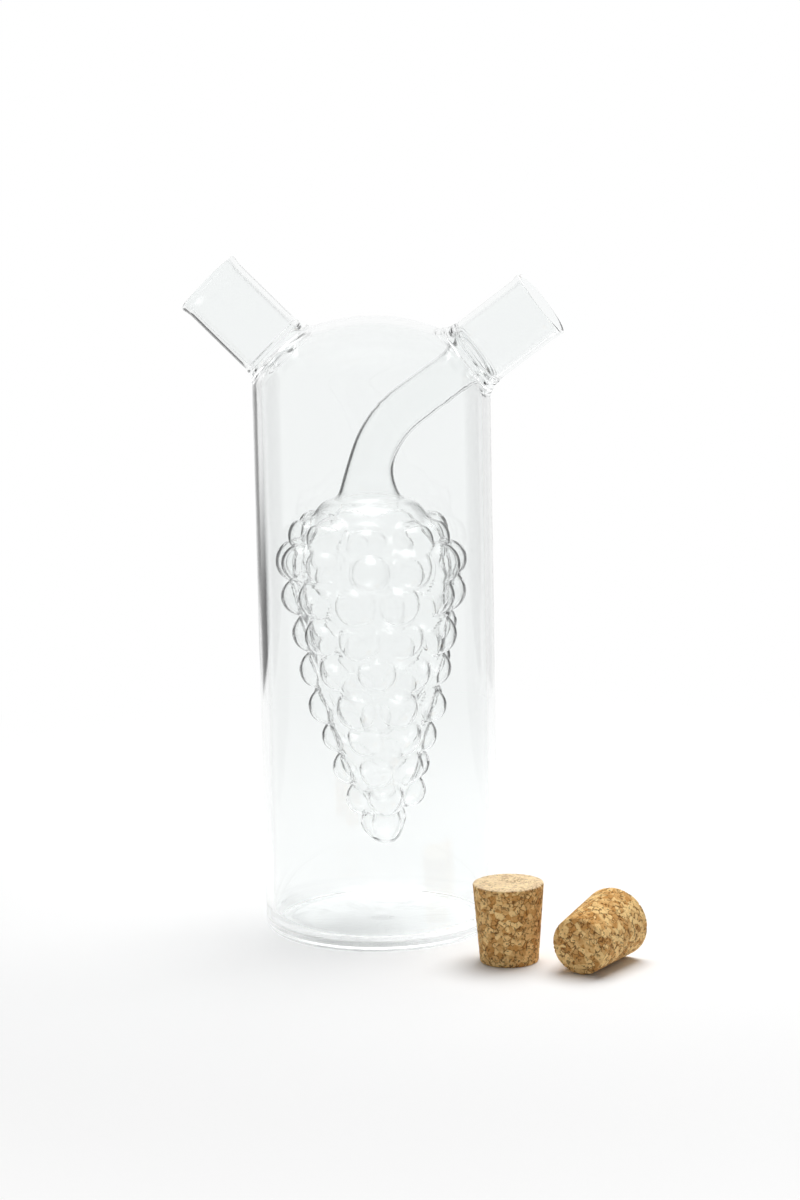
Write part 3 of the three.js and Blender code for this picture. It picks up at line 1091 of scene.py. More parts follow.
    def side(
        self, skin: Skin, layers: dict[str, list[Array]], stem_depth: float, bunch_depth: float
    ) -> list[Array]:
        """Adds one side of the wall, from the stem's seal to the bunch's tip.

        Args:
            skin: Surface that the corners and faces go into.
            layers: Attribute rows, which grow with the corners.
            stem_depth: Depth inside the stem's outside.
            bunch_depth: Depth inside the bunch's outside.

        Returns:
            Corner numbers of each ring.
        """
        line = self.stem_line()
        radii = self.stem_radii(line) - stem_depth
        rings = []
        for middle, way, radius in list(zip(line, directions(line), radii))[1:]:
            ring = self.stem_ring(middle, way, radius)
            rings.append(self.note(skin, layers, ring, np.zeros_like(ring), 0.0, 0.0))
        profile = self.bunch_profile(radii, bunch_depth)
        swells = smooth_step(np.arange(len(profile)) * self.spacing, self.swell_start, self.swell_full)
        for (radius, height), (wider, higher), swell in list(zip(profile, directions(profile), swells))[1:-1]:
            ring = level_ring(radius, height, self.facets) + (self.middle(height), 0.0, 0.0)
            outward = level_ring(-higher, wider, self.facets)
            rings.append(self.note(skin, layers, ring, outward, bunch_depth, swell))
        low = np.array((self.middle(self.tip), 0.0, profile[-1, 1]))
        skin.fan(rings[-1], low)
        layers["core"].append((low - np.array((0.0, 0.0, bunch_depth)))[None] * MM)
        layers["outward"].append(np.array(((0.0, 0.0, -1.0),)))
        layers["swell"].append(np.ones(1))
        skin.strip(rings)
        return rings

    def stem_ring(self, middle: Array, way: Array, radius: float) -> Array:
        """A ring round the stem, square to its middle line.

        Args:
            middle: The point as (x, z).
            way: Direction of the line there.
            radius: Radius of the ring.

        Returns:
            Rows of (x, y, z).
        """
        bearings = circle(self.facets)
        across = radius * np.cos(bearings)
        sideways = radius * np.sin(bearings)
        return np.column_stack((middle[0] - way[1] * across, sideways, middle[1] + way[0] * across))

    @staticmethod
    def note(
        skin: Skin, layers: dict[str, list[Array]], ring: Array, outward: Array, depth: float, share: float
    ) -> Array:
        """Adds a ring with its attributes: the skin over it, the way out and its share of swelling.

        Args:
            skin: Surface that the corners go into.
            layers: Attribute rows, which grow with the corners.
            ring: Rows of (x, y, z).
            outward: The way out at each corner.
            depth: Depth of the ring inside the core's outside.
            share: Share of the berries' swelling that it takes.

        Returns:
            Corner numbers of the ring.
        """
        layers["core"].append((ring + outward * depth) * MM)
        layers["outward"].append(outward)
        layers["swell"].append(np.full(len(ring), share))
        return skin.add(ring)

    def rim(self, skin: Skin, layers: dict[str, list[Array]]) -> list[Array]:
        """Adds the rounded edge of the stem's seal.

        Args:
            skin: Surface that the corners go into.
            layers: Attribute rows, which grow with the corners.

        Returns:
            Corner numbers of each ring, from outside to inside.
        """
        line = self.stem_line()
        radius = float(self.stem_radii(line)[0])
        half = self.stem_wall / 2.0
        way = directions(line)[0]
        rings = []
        for reach, back in arc((radius - half, half), half, 0.0, 180.0, self.rim_steps):
            ring = self.stem_ring(line[0] + way * (self.stem_wall - back), way, reach)
            rings.append(self.note(skin, layers, ring, np.zeros_like(ring), 0.0, 0.0))
        return rings


@dataclass
class Relief:
    """A node tree that moves a piece's surface and dresses it. Its kinds say which way and how far."""

    finish: bpy.types.Material

    def inputs(self) -> dict[str, tuple[str, Any]]:
        """Socket types and values of the tree's own inputs, by name."""
        raise NotImplementedError

    def offset(self, graph: Graph, given: Any) -> bpy.types.NodeSocket:
        """The way that each corner moves, worked out from the tree's inputs."""
        raise NotImplementedError

    def apply(self, piece: bpy.types.Object) -> None:
        """Runs the tree on a piece and keeps the result as its plain mesh.

        Args:
            piece: Object whose mesh goes through the tree.
        """
        own = {**self.inputs(), "Material": ("NodeSocketMaterial", self.finish)}
        shape = ("Geometry", "NodeSocketGeometry")
        kinds = dict((shape, *((name, kind) for name, (kind, _) in own.items())))
        graph, sockets = node_group(type(self).__name__, "GeometryNodeTree", kinds, shape)
        given = graph.add("NodeGroupInput").outputs
        inputs = {"Geometry": given["Geometry"], "Offset": self.offset(graph, given)}
        moved = graph.add("GeometryNodeSetPosition", inputs).outputs[0]
        whole = graph.add("GeometryNodeRealizeInstances", {"Geometry": moved}).outputs[0]
        inputs = {"Geometry": whole, "Material": given["Material"]}
        dressed = graph.add("GeometryNodeSetMaterial", inputs).outputs[0]
        graph.add("NodeGroupOutput", {"Geometry": dressed})
        modifier = piece.modifiers.new(graph.tree.name, "NODES")
        modifier.node_group = graph.tree
        for name, (_, value) in own.items():
            modifier[sockets[name]] = value
        depsgraph = bpy.context.evaluated_depsgraph_get()
        mesh = bpy.data.meshes.new_from_object(piece.evaluated_get(depsgraph), depsgraph=depsgraph)
        piece.modifiers.remove(modifier)
        old = piece.data
        piece.data = mesh
        mesh.name = piece.name
        bpy.data.meshes.remove(old)


@dataclass
class BerrySwelling(Relief):
    """Round berries that swell out of the bunch's core."""

    berries: bpy.types.Object
    valley_round: float

    def inputs(self) -> dict[str, tuple[str, Any]]:
        """The points at the berries' middles, and how softly berries meet.

        Returns:
            Socket types and values by name.
        """
        return {
            "Berries": ("NodeSocketObject", self.berries),
            "Valley round": ("NodeSocketFloat", self.valley_round * MM),
        }

    def offset(self, graph: Graph, given: Any) -> bpy.types.NodeSocket:
        """The way out of the core to the highest berry over it.

        Args:
            graph: Tree that the nodes go into.
            given: The tree's inputs.

        Returns:
            The offset of each corner.
        """
        marks = graph.add("GeometryNodeObjectInfo", {"Object": given["Berries"]}).outputs["Geometry"]
        outward = self.stored(graph, "outward", "FLOAT_VECTOR")
        size = graph.add("GeometryNodeAttributeDomainSize", {"Geometry": marks}, component="MESH")
        begin = graph.add("GeometryNodeRepeatInput")
        end = graph.add("GeometryNodeRepeatOutput")
        begin.pair_with_output(end)
        end.repeat_items.clear()
        end.repeat_items.new("FLOAT", "Rise")
        graph.tree.links.new(size.outputs["Point Count"], begin.inputs["Iterations"])
        berry = self.berry_rise(graph, marks, begin.outputs["Iteration"], outward)
        inputs = {0: begin.outputs["Rise"], 1: berry, 2: given["Valley round"]}
        highest = graph.add("ShaderNodeMath", inputs, operation="SMOOTH_MAX").outputs[0]
        graph.tree.links.new(highest, end.inputs["Rise"])
        return graph.scaled(outward, graph.times(end.outputs["Rise"], self.stored(graph, "swell", "FLOAT")))

    def berry_rise(self, graph: Graph, marks: Any, index: Any, outward: Any) -> bpy.types.NodeSocket:
        """How far one berry's ball stands over the core, along the way out.

        Args:
            graph: Tree that the nodes go into.
            marks: Points at the berries' middles.
            index: Number of the berry.
            outward: The way out of the core.

        Returns:
            The height, negative where the ball lies below the core.
        """
        core = self.stored(graph, "core", "FLOAT_VECTOR")
        place = graph.add("GeometryNodeInputPosition").outputs[0]
        middle = self.sampled(graph, marks, place, index, "FLOAT_VECTOR")
        radius = self.sampled(graph, marks, self.stored(graph, "radius", "FLOAT"), index, "FLOAT")
        beyond = graph.vector("SUBTRACT", core, middle)
        ahead = graph.dot(beyond, outward)
        room = graph.math("SUBTRACT", graph.times(radius, radius), graph.dot(beyond, beyond))
        reach = graph.math("ADD", graph.times(ahead, ahead), room)
        return graph.math("SUBTRACT", graph.math("SQRT", graph.math("MAXIMUM", reach, 0.0)), ahead)

    @staticmethod
    def stored(graph: Graph, name: str, kind: str) -> bpy.types.NodeSocket:
        """A named attribute."""
        node = graph.add("GeometryNodeInputNamedAttribute", {"Name": name}, data_type=kind)
        return node.outputs["Attribute"]

    @staticmethod
    def sampled(graph: Graph, source: Any, value: Any, index: Any, kind: str) -> bpy.types.NodeSocket:
        """A value of the source's point with a given number."""
        inputs = {"Geometry": source, "Value": value, "Index": index}
        return graph.add("GeometryNodeSampleIndex", inputs, data_type=kind, domain="POINT").outputs["Value"]


# Corks


@dataclass
class Cork:
    """A tapered agglomerated cork: pressed granules with crevices between them and small pits."""

    name: str
    form: VesselForm
    bearing: float
    gap: float
    laid_turn: Optional[float] = None
    large_radius: float = 11.04
    small_radius: float = 9.15
    length: float = 25.0
    edge: float = 0.5
    facets: int = 180
    spacing: float = 0.36
    granule: float = 1.7
    crevice_depth: float = 0.22
    pit_depth: float = 0.6
    hub_radius: float = 1.2
    edge_steps: int = 4
    side_angle: float = -4.0

    def profile(self) -> Array:
        """The outline, from the middle of the small end to that of the large end.

        Returns:
            Rows of (radius, height).
        """
        small, large, length, edge = self.small_radius, self.large_radius, self.length, self.edge
        low = arc((small - edge, edge), edge, -90.0, self.side_angle, self.edge_steps)
        high = arc((large - edge, length - edge), edge, self.side_angle, 90.0, self.edge_steps)
        start = [(self.hub_radius, 0.0)]
        end = [(self.hub_radius, length)]
        return resample(np.concatenate((start, low, high, end)), self.spacing)

    def place(self, mesh: bpy.types.Mesh) -> None:
        """Moves a cork's mesh beside the vessel, laid on its sloping side if it has a turn.

        Args:
            mesh: Mesh of the cork, standing on its small end at the origin.
        """
        if self.laid_turn is not None:
            slope = math.atan2(self.large_radius - self.small_radius, self.length)
            lean = Matrix.Rotation(math.pi / 2.0 - slope, 4, "Y")
            mesh.transform(lean @ Matrix.Translation((0.0, 0.0, -self.length * MM / 2.0)))
            mesh.transform(Matrix.Rotation(math.radians(self.laid_turn), 4, "Z"))
        lowest = min(corner.co.z for corner in mesh.vertices)
        angle = math.radians(self.bearing)
        distance = (self.form.radius + self.gap + self.large_radius) * MM
        mesh.transform(Matrix.Translation((distance * math.cos(angle), distance * math.sin(angle), -lowest)))

    def build(self, finish: bpy.types.Material) -> bpy.types.Object:
        """Makes the cork where it was set down.

        Args:
            finish: Cork material.

        Returns:
            The object, with its material.
        """
        skin = Skin()
        rings = [skin.add(level_ring(radius, height, self.facets)) for radius, height in self.profile()]
        skin.strip(rings)
        skin.fan(rings[0], np.zeros(3))
        skin.fan(rings[-1], np.array((0.0, 0.0, self.length)))
        piece = skin.to_object(self.name)
        # Painted light: marks the large end, which is the standing cork's top, so the material can make it
        # paler there, standing in for light from above.
        heights = np.array([corner.co.z for corner in piece.data.vertices]) / MM
        sanded = smooth_step(heights, self.length - self.edge, self.length)
        piece.data.attributes.new("sanded", "FLOAT", "POINT").data.foreach_set("value", sanded)
        self.place(piece.data)
        CorkGrain(finish, self.granule, self.crevice_depth, self.pit_depth).apply(piece)
        return piece


@dataclass
class CorkGrain(Relief):
    """Crevices between granules, and pits, sunk into a cork's surface."""

    granule: float
    crevice_depth: float
    pit_depth: float

    def inputs(self) -> dict[str, tuple[str, Any]]:
        """Size of the granules, and depths of the hollows.

        Returns:
            Socket types and values by name.
        """
        sizes = {
            "Granule size": self.granule,
            "Crevice depth": self.crevice_depth,
            "Pit depth": self.pit_depth,
        }
        return {name: ("NodeSocketFloat", size * MM) for name, size in sizes.items()}

    def offset(self, graph: Graph, given: Any) -> bpy.types.NodeSocket:
        """The way into the cork, as far as its hollows are deep.

        Args:
            graph: Tree that the nodes go into.
            given: The tree's inputs.

        Returns:
            The offset of each corner.
        """
        place = graph.add("GeometryNodeInputPosition").outputs[0]
        crevice, pit = CorkHollows().masks(graph, place, given["Granule size"])
        sunk = graph.times(crevice, given["Crevice depth"])
        depth = graph.math("ADD", sunk, graph.times(pit, given["Pit depth"]))
        normal = graph.add("GeometryNodeInputNormal").outputs[0]
        return graph.scaled(normal, graph.times(depth, -1.0))


@dataclass(frozen=True)
class CorkHollows:
    """Where cork has crevices between its granules, and where it has pits.

    Scales count waves or cells to the metre, and widths are shares of a granule.
    """

    warp_scale: float = 700.0
    warp_detail: float = 2.0
    warp_reach: float = 1.6
    crevice_width: float = 0.15
    break_scale: float = 420.0
    break_detail: float = 1.0
    break_start: float = 0.42
    break_end: float = 0.58
    pits_per_granule: float = 1.25
    pit_floor: float = 0.1
    pit_edge: float = 0.34
    pit_start: float = 0.72
    pit_full: float = 0.76

    def masks(
        self, graph: Graph, place: bpy.types.NodeSocket, granule: Any
    ) -> tuple[bpy.types.NodeSocket, bpy.types.NodeSocket]:
        """Masks of the hollows.

        Args:
            graph: Tree that the nodes go into.
            place: Position on the surface, in metres.
            granule: Size of a granule, in metres.

        Returns:
            Masks of the crevices and of the pits, 1 at their deepest.
        """
        scale = graph.math("DIVIDE", 1.0, granule)
        warp = graph.noise(place, self.warp_scale, self.warp_detail, "Color")
        shift = graph.scaled(graph.vector("SUBTRACT", warp, (0.5, 0.5, 0.5)), self.warp_reach * MM)
        bent = graph.vector("ADD", place, shift)
        inputs = {"Vector": bent, "Scale": scale}
        edges = graph.add("ShaderNodeTexVoronoi", inputs, feature="DISTANCE_TO_EDGE").outputs["Distance"]
        broken = graph.ramp(
            graph.noise(place, self.break_scale, self.break_detail), self.break_start, self.break_end
        )
        crevice = graph.times(graph.ramp(edges, 0.0, self.crevice_width, 1.0, 0.0), broken)
        inputs = {"Vector": bent, "Scale": graph.times(scale, self.pits_per_granule)}
        cells = graph.add("ShaderNodeTexVoronoi", inputs, feature="F1").outputs
        chosen = graph.ramp(graph.first_part(cells["Color"]), self.pit_start, self.pit_full)
        pit = graph.times(graph.ramp(cells["Distance"], self.pit_floor, self.pit_edge, 1.0, 0.0), chosen)
        return crevice, pit


# Finishes


@dataclass(frozen=True)
class ClearGlass:
    """Clear fire-polished glass with faint draw marks, and painted shade that darkens it where it is seen
    edge-on.

    Light that has met many walls goes straight on, since it isn't followed for ever.
    """

    name: str
    tint: Colour
    # Colour toward edge-on views: partly the glass's tint over a longer path, partly painted shade for dark
    # outlines.
    edge_tint: Colour
    shadow: Colour
    ripple_size: float
    ripple: float
    ior: float = 1.47
    edge_start: float = 0.75
    most_walls: float = 11.5
    most_mirrors: float = 3.5

    def build(self) -> bpy.types.Material:
        """Makes the material.

        Returns:
            The material.
        """
        finish, graph = blank_material(self.name)
        ripple = graph.add("ShaderNodeGroup", node_tree=blown_ripple())
        ripple.inputs["Size"].default_value = self.ripple_size * MM
        ripple.inputs["Strength"].default_value = self.ripple
        # Darker where the glass is seen edge-on: partly the tint over the longer path through the wall,
        # partly painted shade for dark outlines.
        facing = graph.add("ShaderNodeLayerWeight", {"Blend": 0.5}).outputs["Facing"]
        edge = graph.ramp(facing, self.edge_start, 1.0)
        glass = graph.add(
            "ShaderNodeBsdfPrincipled",
            {
                "Base Color": graph.mix(edge, self.tint, self.edge_tint),
                "Roughness": 0.0,
                "IOR": self.ior,
                "Transmission Weight": 1.0,
                "Normal": ripple.outputs["Normal"],
            },
        ).outputs[0]
        path = graph.add("ShaderNodeLightPath").outputs
        many_walls = graph.over(path["Ray Depth"], self.most_walls)
        many_mirrors = graph.over(path["Glossy Depth"], self.most_mirrors)
        spent = graph.math("MAXIMUM", many_walls, many_mirrors)
        straight = graph.math("MAXIMUM", path["Is Shadow Ray"], spent)
        clear = graph.add("ShaderNodeBsdfTransparent", {"Color": self.shadow}).outputs[0]
        graph.surface(glass, clear, straight)
        return finish


def blown_ripple() -> bpy.types.NodeTree:
    """The faint unevenness of blown glass, as a normal; built once and shared.

    Returns:
        The node group.
    """
    name = "Blown ripple"
    if name in bpy.data.node_groups:
        return bpy.data.node_groups[name]
    sizes = {"Size": "NodeSocketFloat", "Strength": "NodeSocketFloat"}
    graph, _ = node_group(name, "ShaderNodeTree", sizes, ("Normal", "NodeSocketVector"))
    given = graph.add("NodeGroupInput").outputs
    place = graph.add("ShaderNodeTexCoord").outputs["Object"]
    waves = graph.noise(place, graph.math("DIVIDE", 1.0, given["Size"]), 1.0)
    inputs = {"Height": waves, "Strength": given["Strength"], "Distance": MM}
    graph.add("NodeGroupOutput", {"Normal": graph.add("ShaderNodeBump", inputs).outputs[0]})
    return graph.tree


@dataclass(frozen=True)
class AgglomeratedCork:
    """Pressed cork granules, each its own shade of tan, with brown crevices and specks, and painted light on
    the large end.
    """

    name: str = "agglomerated_cork"
    dark: Colour = (0.6, 0.29, 0.08, 1.0)
    light: Colour = (1.0, 0.7, 0.31, 1.0)
    # Paler tone of the large end: painted light from above, not the cork's own colour.
    pale: Colour = (1.0, 0.86, 0.62, 1.0)
    brown: Colour = (0.24, 0.092, 0.018, 1.0)
    speck: Colour = (0.1, 0.043, 0.012, 1.0)
    granule: float = 1.7
    shade_share: float = 0.6
    fibre_scale: float = 1500.0
    fibre_detail: float = 3.0
    fibre_share: float = 0.55
    dark_tone: float = 0.2
    light_tone: float = 0.9
    # Shares for the large end's painted light: how far it turns pale, and how many marks stay there compared
    # with the sides.
    sanded_share: float = 0.6
    side_marks: float = 0.92
    sanded_marks: float = 0.55
    fleck_scale: float = 950.0
    fleck_detail: float = 2.0
    fleck_start: float = 0.58
    fleck_full: float = 0.66
    fleck_share: float = 0.75
    fibre_bump: float = 0.35
    fibre_height: float = 0.15
    fibre_low: float = 0.2
    fibre_high: float = 0.8
    roughest: float = 0.95
    smoothest: float = 0.72
    gloss: float = 0.12
    sheen: float = 0.15
    sheen_tint: Colour = (1.0, 0.84, 0.58, 1.0)

    def build(self) -> bpy.types.Material:
        """Makes the material.

        Returns:
            The material.
        """
        finish, graph = blank_material(self.name)
        place = graph.add("ShaderNodeTexCoord").outputs["Object"]
        crevice, pit = CorkHollows().masks(graph, place, self.granule * MM)
        cells = graph.add("ShaderNodeTexVoronoi", {"Vector": place, "Scale": 1.0 / (self.granule * MM)})
        shade = graph.times(graph.first_part(cells.outputs["Color"]), self.shade_share)
        fibre = graph.noise(place, self.fibre_scale, self.fibre_detail)
        tone = graph.math("ADD", shade, graph.times(fibre, self.fibre_share))
        tan = graph.mix(graph.ramp(tone, self.dark_tone, self.light_tone), self.dark, self.light)
        # Painted light: the large end is mixed toward the pale tone and loses marks, standing in for light
        # from above.
        sanded = graph.add("ShaderNodeAttribute", attribute_name="sanded").outputs["Fac"]
        tan = graph.mix(graph.times(sanded, self.sanded_share), tan, self.pale)
        mark_share = graph.ramp(sanded, 0.0, 1.0, self.side_marks, self.sanded_marks)
        seams = graph.mix(graph.times(crevice, mark_share), tan, self.brown)
        flecks = graph.noise(place, self.fleck_scale, self.fleck_detail)
        specks = graph.times(graph.ramp(flecks, self.fleck_start, self.fleck_full), self.fleck_share)
        marks = graph.times(graph.math("MAXIMUM", specks, pit), mark_share)
        roughness = graph.ramp(fibre, self.fibre_low, self.fibre_high, self.roughest, self.smoothest)
        inputs = {"Height": fibre, "Strength": self.fibre_bump, "Distance": self.fibre_height * MM}
        skin = graph.add(
            "ShaderNodeBsdfPrincipled",
            {
                "Base Color": graph.mix(marks, seams, self.speck),
                "Roughness": roughness,
                "Specular IOR Level": self.gloss,
                "Sheen Weight": self.sheen,
                "Sheen Tint": self.sheen_tint,
                "Normal": graph.add("ShaderNodeBump", inputs).outputs[0],
            },
        ).outputs[0]
        graph.surface(skin)
        return finish


# Studio


def card(name: str, corners: Sequence[Sequence[float]], finish: bpy.types.Material) -> bpy.types.Object:
    """Makes a four-sided card of the set.

    Args:
        name: Name of the card.
        corners: Its corners in turn, in millimetres.
        finish: Its material.

    Returns:
        The object, linked to the scene.
    """
    mesh = bpy.data.meshes.new(name)
    mesh.from_pydata([tuple(Vector(corner) * MM) for corner in corners], [], [(0, 1, 2, 3)])
    mesh.materials.append(finish)
    return linked(name, mesh)


def level_square(half: float, height: float) -> list[tuple[float, float, float]]:
    """Corners of a level square about the upright axis."""
    return [(-half, -half, height), (half, -half, height), (half, half, height), (-half, half, height)]


def show_in_mirrors_only(thing: bpy.types.Object) -> None:
    """Hides a card from the camera, and from the light on other surfaces.

    Args:
        thing: The card.
    """
    thing.visible_camera = False
    thing.visible_diffuse = False
    thing.visible_shadow = False


@dataclass(frozen=True)
class Flag:
    """A soft-edged dark card behind the object, which only shows mirrored inside the glass.

    Lengths are in millimetres. Its sides, the inner one first, are measured to the right of the
    camera's line. Its heights are its foot, the two between which it is full, and its top.
    """

    name: str
    distance: float
    sides: tuple[float, float]
    heights: tuple[float, float, float, float]
    tone: float
    least_bends: float
    least_mirrors: float = 0.5
    inner_fade: float = 0.2
    outer_fade: float = 0.7

    def build(self, azimuth: float) -> None:
        """Stands the flag up.

        Args:
            azimuth: Bearing of the camera, in degrees.
        """
        turn = math.radians(azimuth)
        away = self.distance * np.array((-math.sin(turn), math.cos(turn)))
        right = np.array((math.cos(turn), math.sin(turn)))
        foot, top = self.heights[0], self.heights[-1]
        inner, outer = (away + right * side for side in self.sides)
        corners = [(*inner, foot), (*outer, foot), (*outer, top), (*inner, top)]
        flag = card(self.name, corners, self.cloth())
        layer = flag.data.uv_layers.new(name="card")
        layer.data.foreach_set("uv", (0.0, foot, 1.0, foot, 1.0, top, 0.0, top))
        show_in_mirrors_only(flag)

    def cloth(self) -> bpy.types.Material:
        """A dark cloth that runs out at its edges.

        Returns:
            The material.
        """
        finish, graph = blank_material(self.name)
        foot, full, fading, top = self.heights
        place = graph.add("ShaderNodeUVMap", uv_map="card").outputs[0]
        across, up, _ = graph.add("ShaderNodeSeparateXYZ", {0: place}).outputs
        inside = graph.times(
            graph.ramp(across, 0.0, self.inner_fade), graph.ramp(across, self.outer_fade, 1.0, 1.0, 0.0)
        )
        between = graph.times(graph.ramp(up, foot, full), graph.ramp(up, fading, top, 1.0, 0.0))
        path = graph.add("ShaderNodeLightPath").outputs
        mirrored = graph.over(path["Glossy Depth"], self.least_mirrors)
        shown = graph.times(mirrored, graph.over(path["Ray Depth"], self.least_bends))
        grey = (self.tone, self.tone, self.tone, 1.0)
        dull = graph.add("ShaderNodeEmission", {"Color": grey, "Strength": 1.0}).outputs[0]
        clear = graph.add("ShaderNodeBsdfTransparent").outputs[0]
        graph.surface(clear, dull, graph.times(graph.times(inside, between), shown))
        return finish


@dataclass
class Studio:
    """Pale floor, soft overhead light, flags and a glow for the glass, and the camera."""

    target: tuple[float, float, float] = (7.58, 0.97, 105.82)
    distance: float = 1208.4
    azimuth: float = 7.3
    pitch: float = 10.595
    roll: float = -1.185
    lens: float = 114.0
    sensor: float = 36.0
    farthest_metres: float = 100.0
    floor_half: float = 14000.0
    floor_tone: Colour = (0.95, 0.95, 0.95, 1.0)
    floor_roughness: float = 0.9
    fade_start: float = 120.0
    fade_end: float = 360.0
    room_level: float = 0.2
    flags: tuple[Flag, ...] = (
        Flag("left_flag", 320.0, (-112.0, -420.0), (0.0, 8.0, 30.0, 104.0), tone=0.02, least_bends=2.5),
        Flag("neck_flag", 310.0, (-45.0, -210.0), (30.0, 60.0, 130.0, 190.0), tone=0.02, least_bends=2.5),
        Flag("inner_left_flag", 330.0, (-80.0, -560.0), (0.0, 8.0, 170.0, 560.0), tone=0.02, least_bends=4.5),
        Flag("inner_right_flag", 330.0, (60.0, 620.0), (0.0, 8.0, 300.0, 480.0), tone=0.04, least_bends=4.5),
        Flag("low_left_flag", 130.0, (-20.0, -340.0), (0.0, 3.0, 40.0, 80.0), tone=0.02, least_bends=6.5),
        Flag("low_right_flag", 130.0, (20.0, 340.0), (0.0, 3.0, 40.0, 80.0), tone=0.04, least_bends=6.5),
    )
    glow_half: float = 550.0
    glow_core: float = 0.2
    glow_height: float = 900.0
    glow_level: float = 1.3
    inner_glow_level: float = 5.5
    inner_bends: float = 4.5
    least_mirrors: float = 0.5
    softbox_size: float = 800.0
    softbox_power: float = 13.2
    softbox_place: tuple[float, float, float] = (150.0, 300.0, 1050.0)
    softbox_aim: tuple[float, float, float] = (0.0, 0.0, 60.0)

    def build(self) -> None:
        """Puts up the whole set."""
        self.camera()
        self.world()
        self.floor()
        self.softbox()
        for flag in self.flags:
            flag.build(self.azimuth)
        self.glow()

    def axes(self) -> tuple[Vector, Vector, Vector]:
        """The camera's right, up and forward directions.

        Returns:
            Three unit vectors.
        """
        turn, pitch, roll = (math.radians(a) for a in (self.azimuth, self.pitch, self.roll))
        right = Vector((math.cos(turn), math.sin(turn), 0.0))
        level = Vector((-math.sin(turn), math.cos(turn), 0.0))
        forward = level * math.cos(pitch) - Vector((0.0, 0.0, math.sin(pitch)))
        up = right.cross(forward)
        leaning_right = right * math.cos(roll) + up * math.sin(roll)
        leaning_up = up * math.cos(roll) - right * math.sin(roll)
        return leaning_right, leaning_up, forward

    def camera(self) -> None:
        """Sets the camera as the photograph was taken."""
        data = bpy.data.cameras.new("camera")
        data.lens = self.lens
        data.sensor_width = self.sensor
        data.clip_end = self.farthest_metres
        right, up, forward = self.axes()
        place = (Vector(self.target) - forward * self.distance) * MM
        turn = Matrix((right, up, -forward)).transposed()
        camera = linked("camera", data)
        camera.matrix_world = Matrix.Translation(place) @ turn.to_4x4()
        bpy.context.scene.camera = camera

    @staticmethod
    def seen(graph: Graph) -> bpy.types.NodeSocket:
        """Tells the rays by which the camera sees the set, directly, in glass or in a reflection.

        Args:
            graph: Tree that the nodes go into.

        Returns:
            1 for such rays, and 0 for those that only carry light.
        """
        path = graph.add("ShaderNodeLightPath").outputs
        straight = graph.math("MAXIMUM", path["Is Camera Ray"], path["Is Glossy Ray"])
        return graph.math("MAXIMUM", straight, path["Is Transmission Ray"])

    def world(self) -> None:
        """A white surrounding to look at, which lights the object only softly."""
        world = bpy.data.worlds.new("studio")
        world.use_nodes = True
        world.node_tree.nodes.clear()
        graph = Graph(world.node_tree)
        room, white = (
            graph.add("ShaderNodeBackground", {"Color": WHITE, "Strength": level}).outputs[0]
            for level in (self.room_level, 1.0)
        )
        mixed = graph.add("ShaderNodeMixShader", {0: self.seen(graph), 1: room, 2: white}).outputs[0]
        graph.add("ShaderNodeOutputWorld", {"Surface": mixed})
        bpy.context.scene.world = world

    def floor(self) -> None:
        """A pale floor that keeps the object's shadow and runs out into white."""
        finish, graph = blank_material("pale_floor")
        place = graph.add("ShaderNodeTexCoord").outputs["Object"]
        far = graph.add("ShaderNodeVectorMath", {0: place}, operation="LENGTH").outputs["Value"]
        fade = graph.times(graph.ramp(far, self.fade_start * MM, self.fade_end * MM), self.seen(graph))
        inputs = {"Base Color": self.floor_tone, "Roughness": self.floor_roughness}
        paper = graph.add("ShaderNodeBsdfPrincipled", inputs).outputs[0]
        white = graph.add("ShaderNodeEmission", {"Color": WHITE, "Strength": 1.0}).outputs[0]
        graph.surface(paper, white, fade)
        floor = card("floor", level_square(self.floor_half, 0.0), finish)

    def softbox(self) -> None:
        """Hangs the square soft light that shines at the object from above."""
        data = bpy.data.lights.new("overhead", "AREA")
        data.size = self.softbox_size * MM
        data.energy = self.softbox_power
        lamp = linked("overhead", data)
        lamp.location = Vector(self.softbox_place) * MM
        towards = Vector(self.softbox_aim) * MM - lamp.location
        lamp.rotation_euler = towards.to_track_quat("-Z", "Y").to_euler()
        lamp.visible_glossy = False
        lamp.visible_transmission = False

    def glow(self) -> None:
        """Hangs a soft card overhead, which only shows as a sheen on the glass, most on the inner glass."""
        finish, graph = blank_material("glow")
        half = self.glow_half * MM
        place = graph.add("ShaderNodeTexCoord").outputs["Object"]
        flat = graph.vector("MULTIPLY", place, (1.0, 1.0, 0.0))
        far = graph.add("ShaderNodeVectorMath", {0: flat}, operation="LENGTH").outputs["Value"]
        path = graph.add("ShaderNodeLightPath").outputs
        within = graph.over(path["Ray Depth"], self.inner_bends)
        gain = graph.ramp(within, 0.0, 1.0, self.glow_level - 1.0, self.inner_glow_level - 1.0)
        near = graph.ramp(far, half * self.glow_core, half, 1.0, 0.0)
        strength = graph.math("ADD", graph.times(near, gain), 1.0)
        light = graph.add("ShaderNodeEmission", {"Color": WHITE, "Strength": strength}).outputs[0]
        clear = graph.add("ShaderNodeBsdfTransparent").outputs[0]
        graph.surface(clear, light, graph.over(path["Glossy Depth"], self.least_mirrors))
        glow = card("glow", level_square(self.glow_half, self.glow_height), finish)
        show_in_mirrors_only(glow)


# Assembly


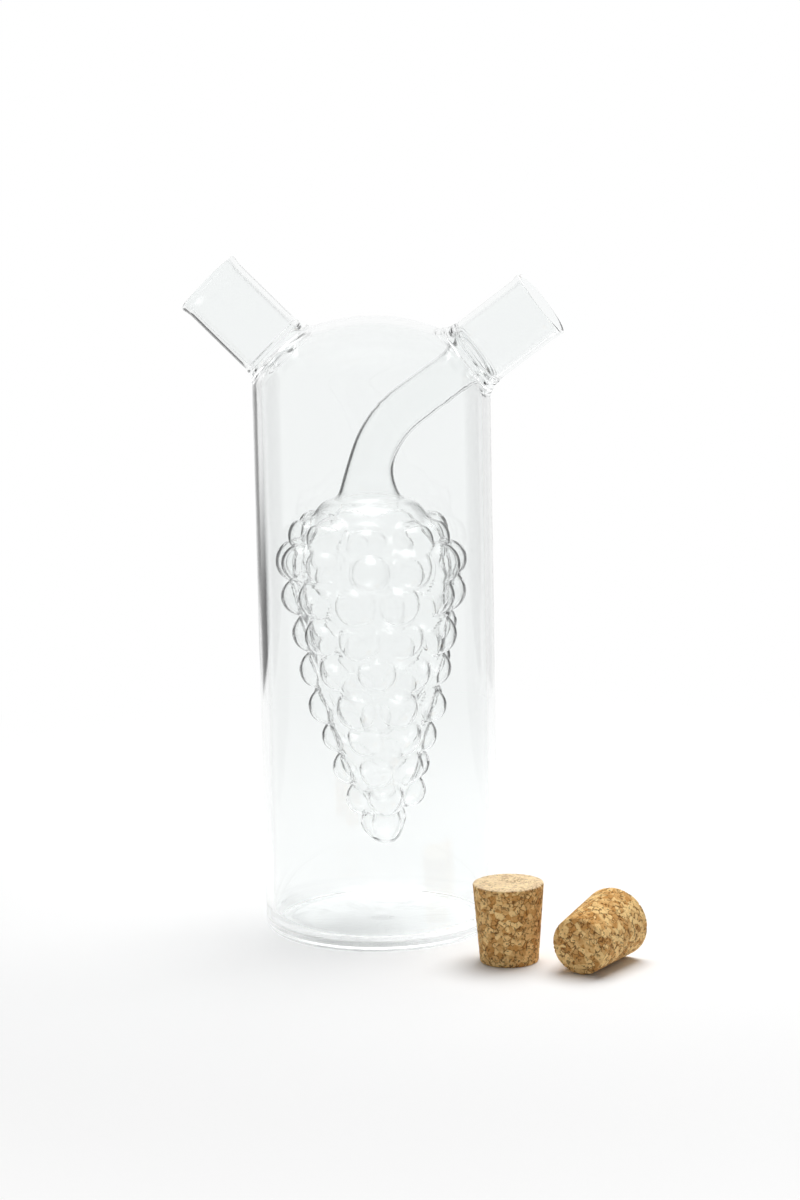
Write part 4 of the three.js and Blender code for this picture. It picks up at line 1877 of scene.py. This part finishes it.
@dataclass
class Cruet:
    """The whole object: glass vessel, inner bunch and two corks."""

    form: VesselForm = field(default_factory=VesselForm)
    vessel_glass: ClearGlass = ClearGlass(
        "vessel_glass",
        tint=(0.943, 0.955, 0.953, 1.0),
        edge_tint=(0.8, 0.82, 0.82, 1.0),
        shadow=(0.985, 0.987, 0.987, 1.0),
        ripple_size=30.0,
        ripple=0.04,
    )
    bunch_glass: ClearGlass = ClearGlass(
        "bunch_glass",
        tint=(0.985, 0.989, 0.988, 1.0),
        edge_tint=(0.86, 0.87, 0.87, 1.0),
        shadow=(0.99, 0.991, 0.991, 1.0),
        ripple_size=14.0,
        ripple=0.08,
    )

    def build(self) -> None:
        """Builds, dresses and places every piece."""
        left = Neck(self.form, tilt=135.0, foot_drop=17.3, length=29.0)
        right = Neck(self.form, tilt=36.7, foot_drop=13.6, length=25.9)
        shell = VesselShell(self.form, (left, right)).build()
        shell.data.materials.append(self.vessel_glass.build())
        self.settle(shell, Body.VESSEL, Slot.GLASS, "body_tube", "base_pan", "left_neck", "right_neck")
        bunch = StemAndBunch(self.form, right).build(self.bunch_glass.build())
        self.settle(bunch, Body.VESSEL, Slot.GLASS, "stem_tube", "grape_vessel")
        cork = AgglomeratedCork().build()
        standing = Cork("standing_stopper_cork", self.form, bearing=-42.8, gap=12.8)
        self.settle(standing.build(cork), Body.STANDING, Slot.CORK, "standing_cork")
        lying = Cork("lying_stopper_cork", self.form, bearing=-32.2, gap=37.6, laid_turn=67.0)
        self.settle(lying.build(cork), Body.LYING, Slot.CORK, "lying_cork")

    @staticmethod
    def settle(piece: bpy.types.Object, body: Body, slot: Slot, *nodes: str) -> None:
        """Lets a piece ride on its body in place of nodes.

        Args:
            piece: The finished piece.
            body: Body that it rides on.
            slot: Its material slot; not used.
            nodes: Names of the nodes that it replaces.
        """
        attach(piece, body.value)
        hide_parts(*nodes)
        LOG.info("%s: %d faces, for %s", piece.name, len(piece.data.polygons), ", ".join(nodes))


def main() -> None:
    """Builds the object and its set."""
    logging.basicConfig(level=logging.INFO, format="%(name)s: %(message)s")
    bpy.context.scene.view_settings.view_transform = "Standard"
    Cruet().build()
    Studio().build()


if __name__ == "__main__":
    main()
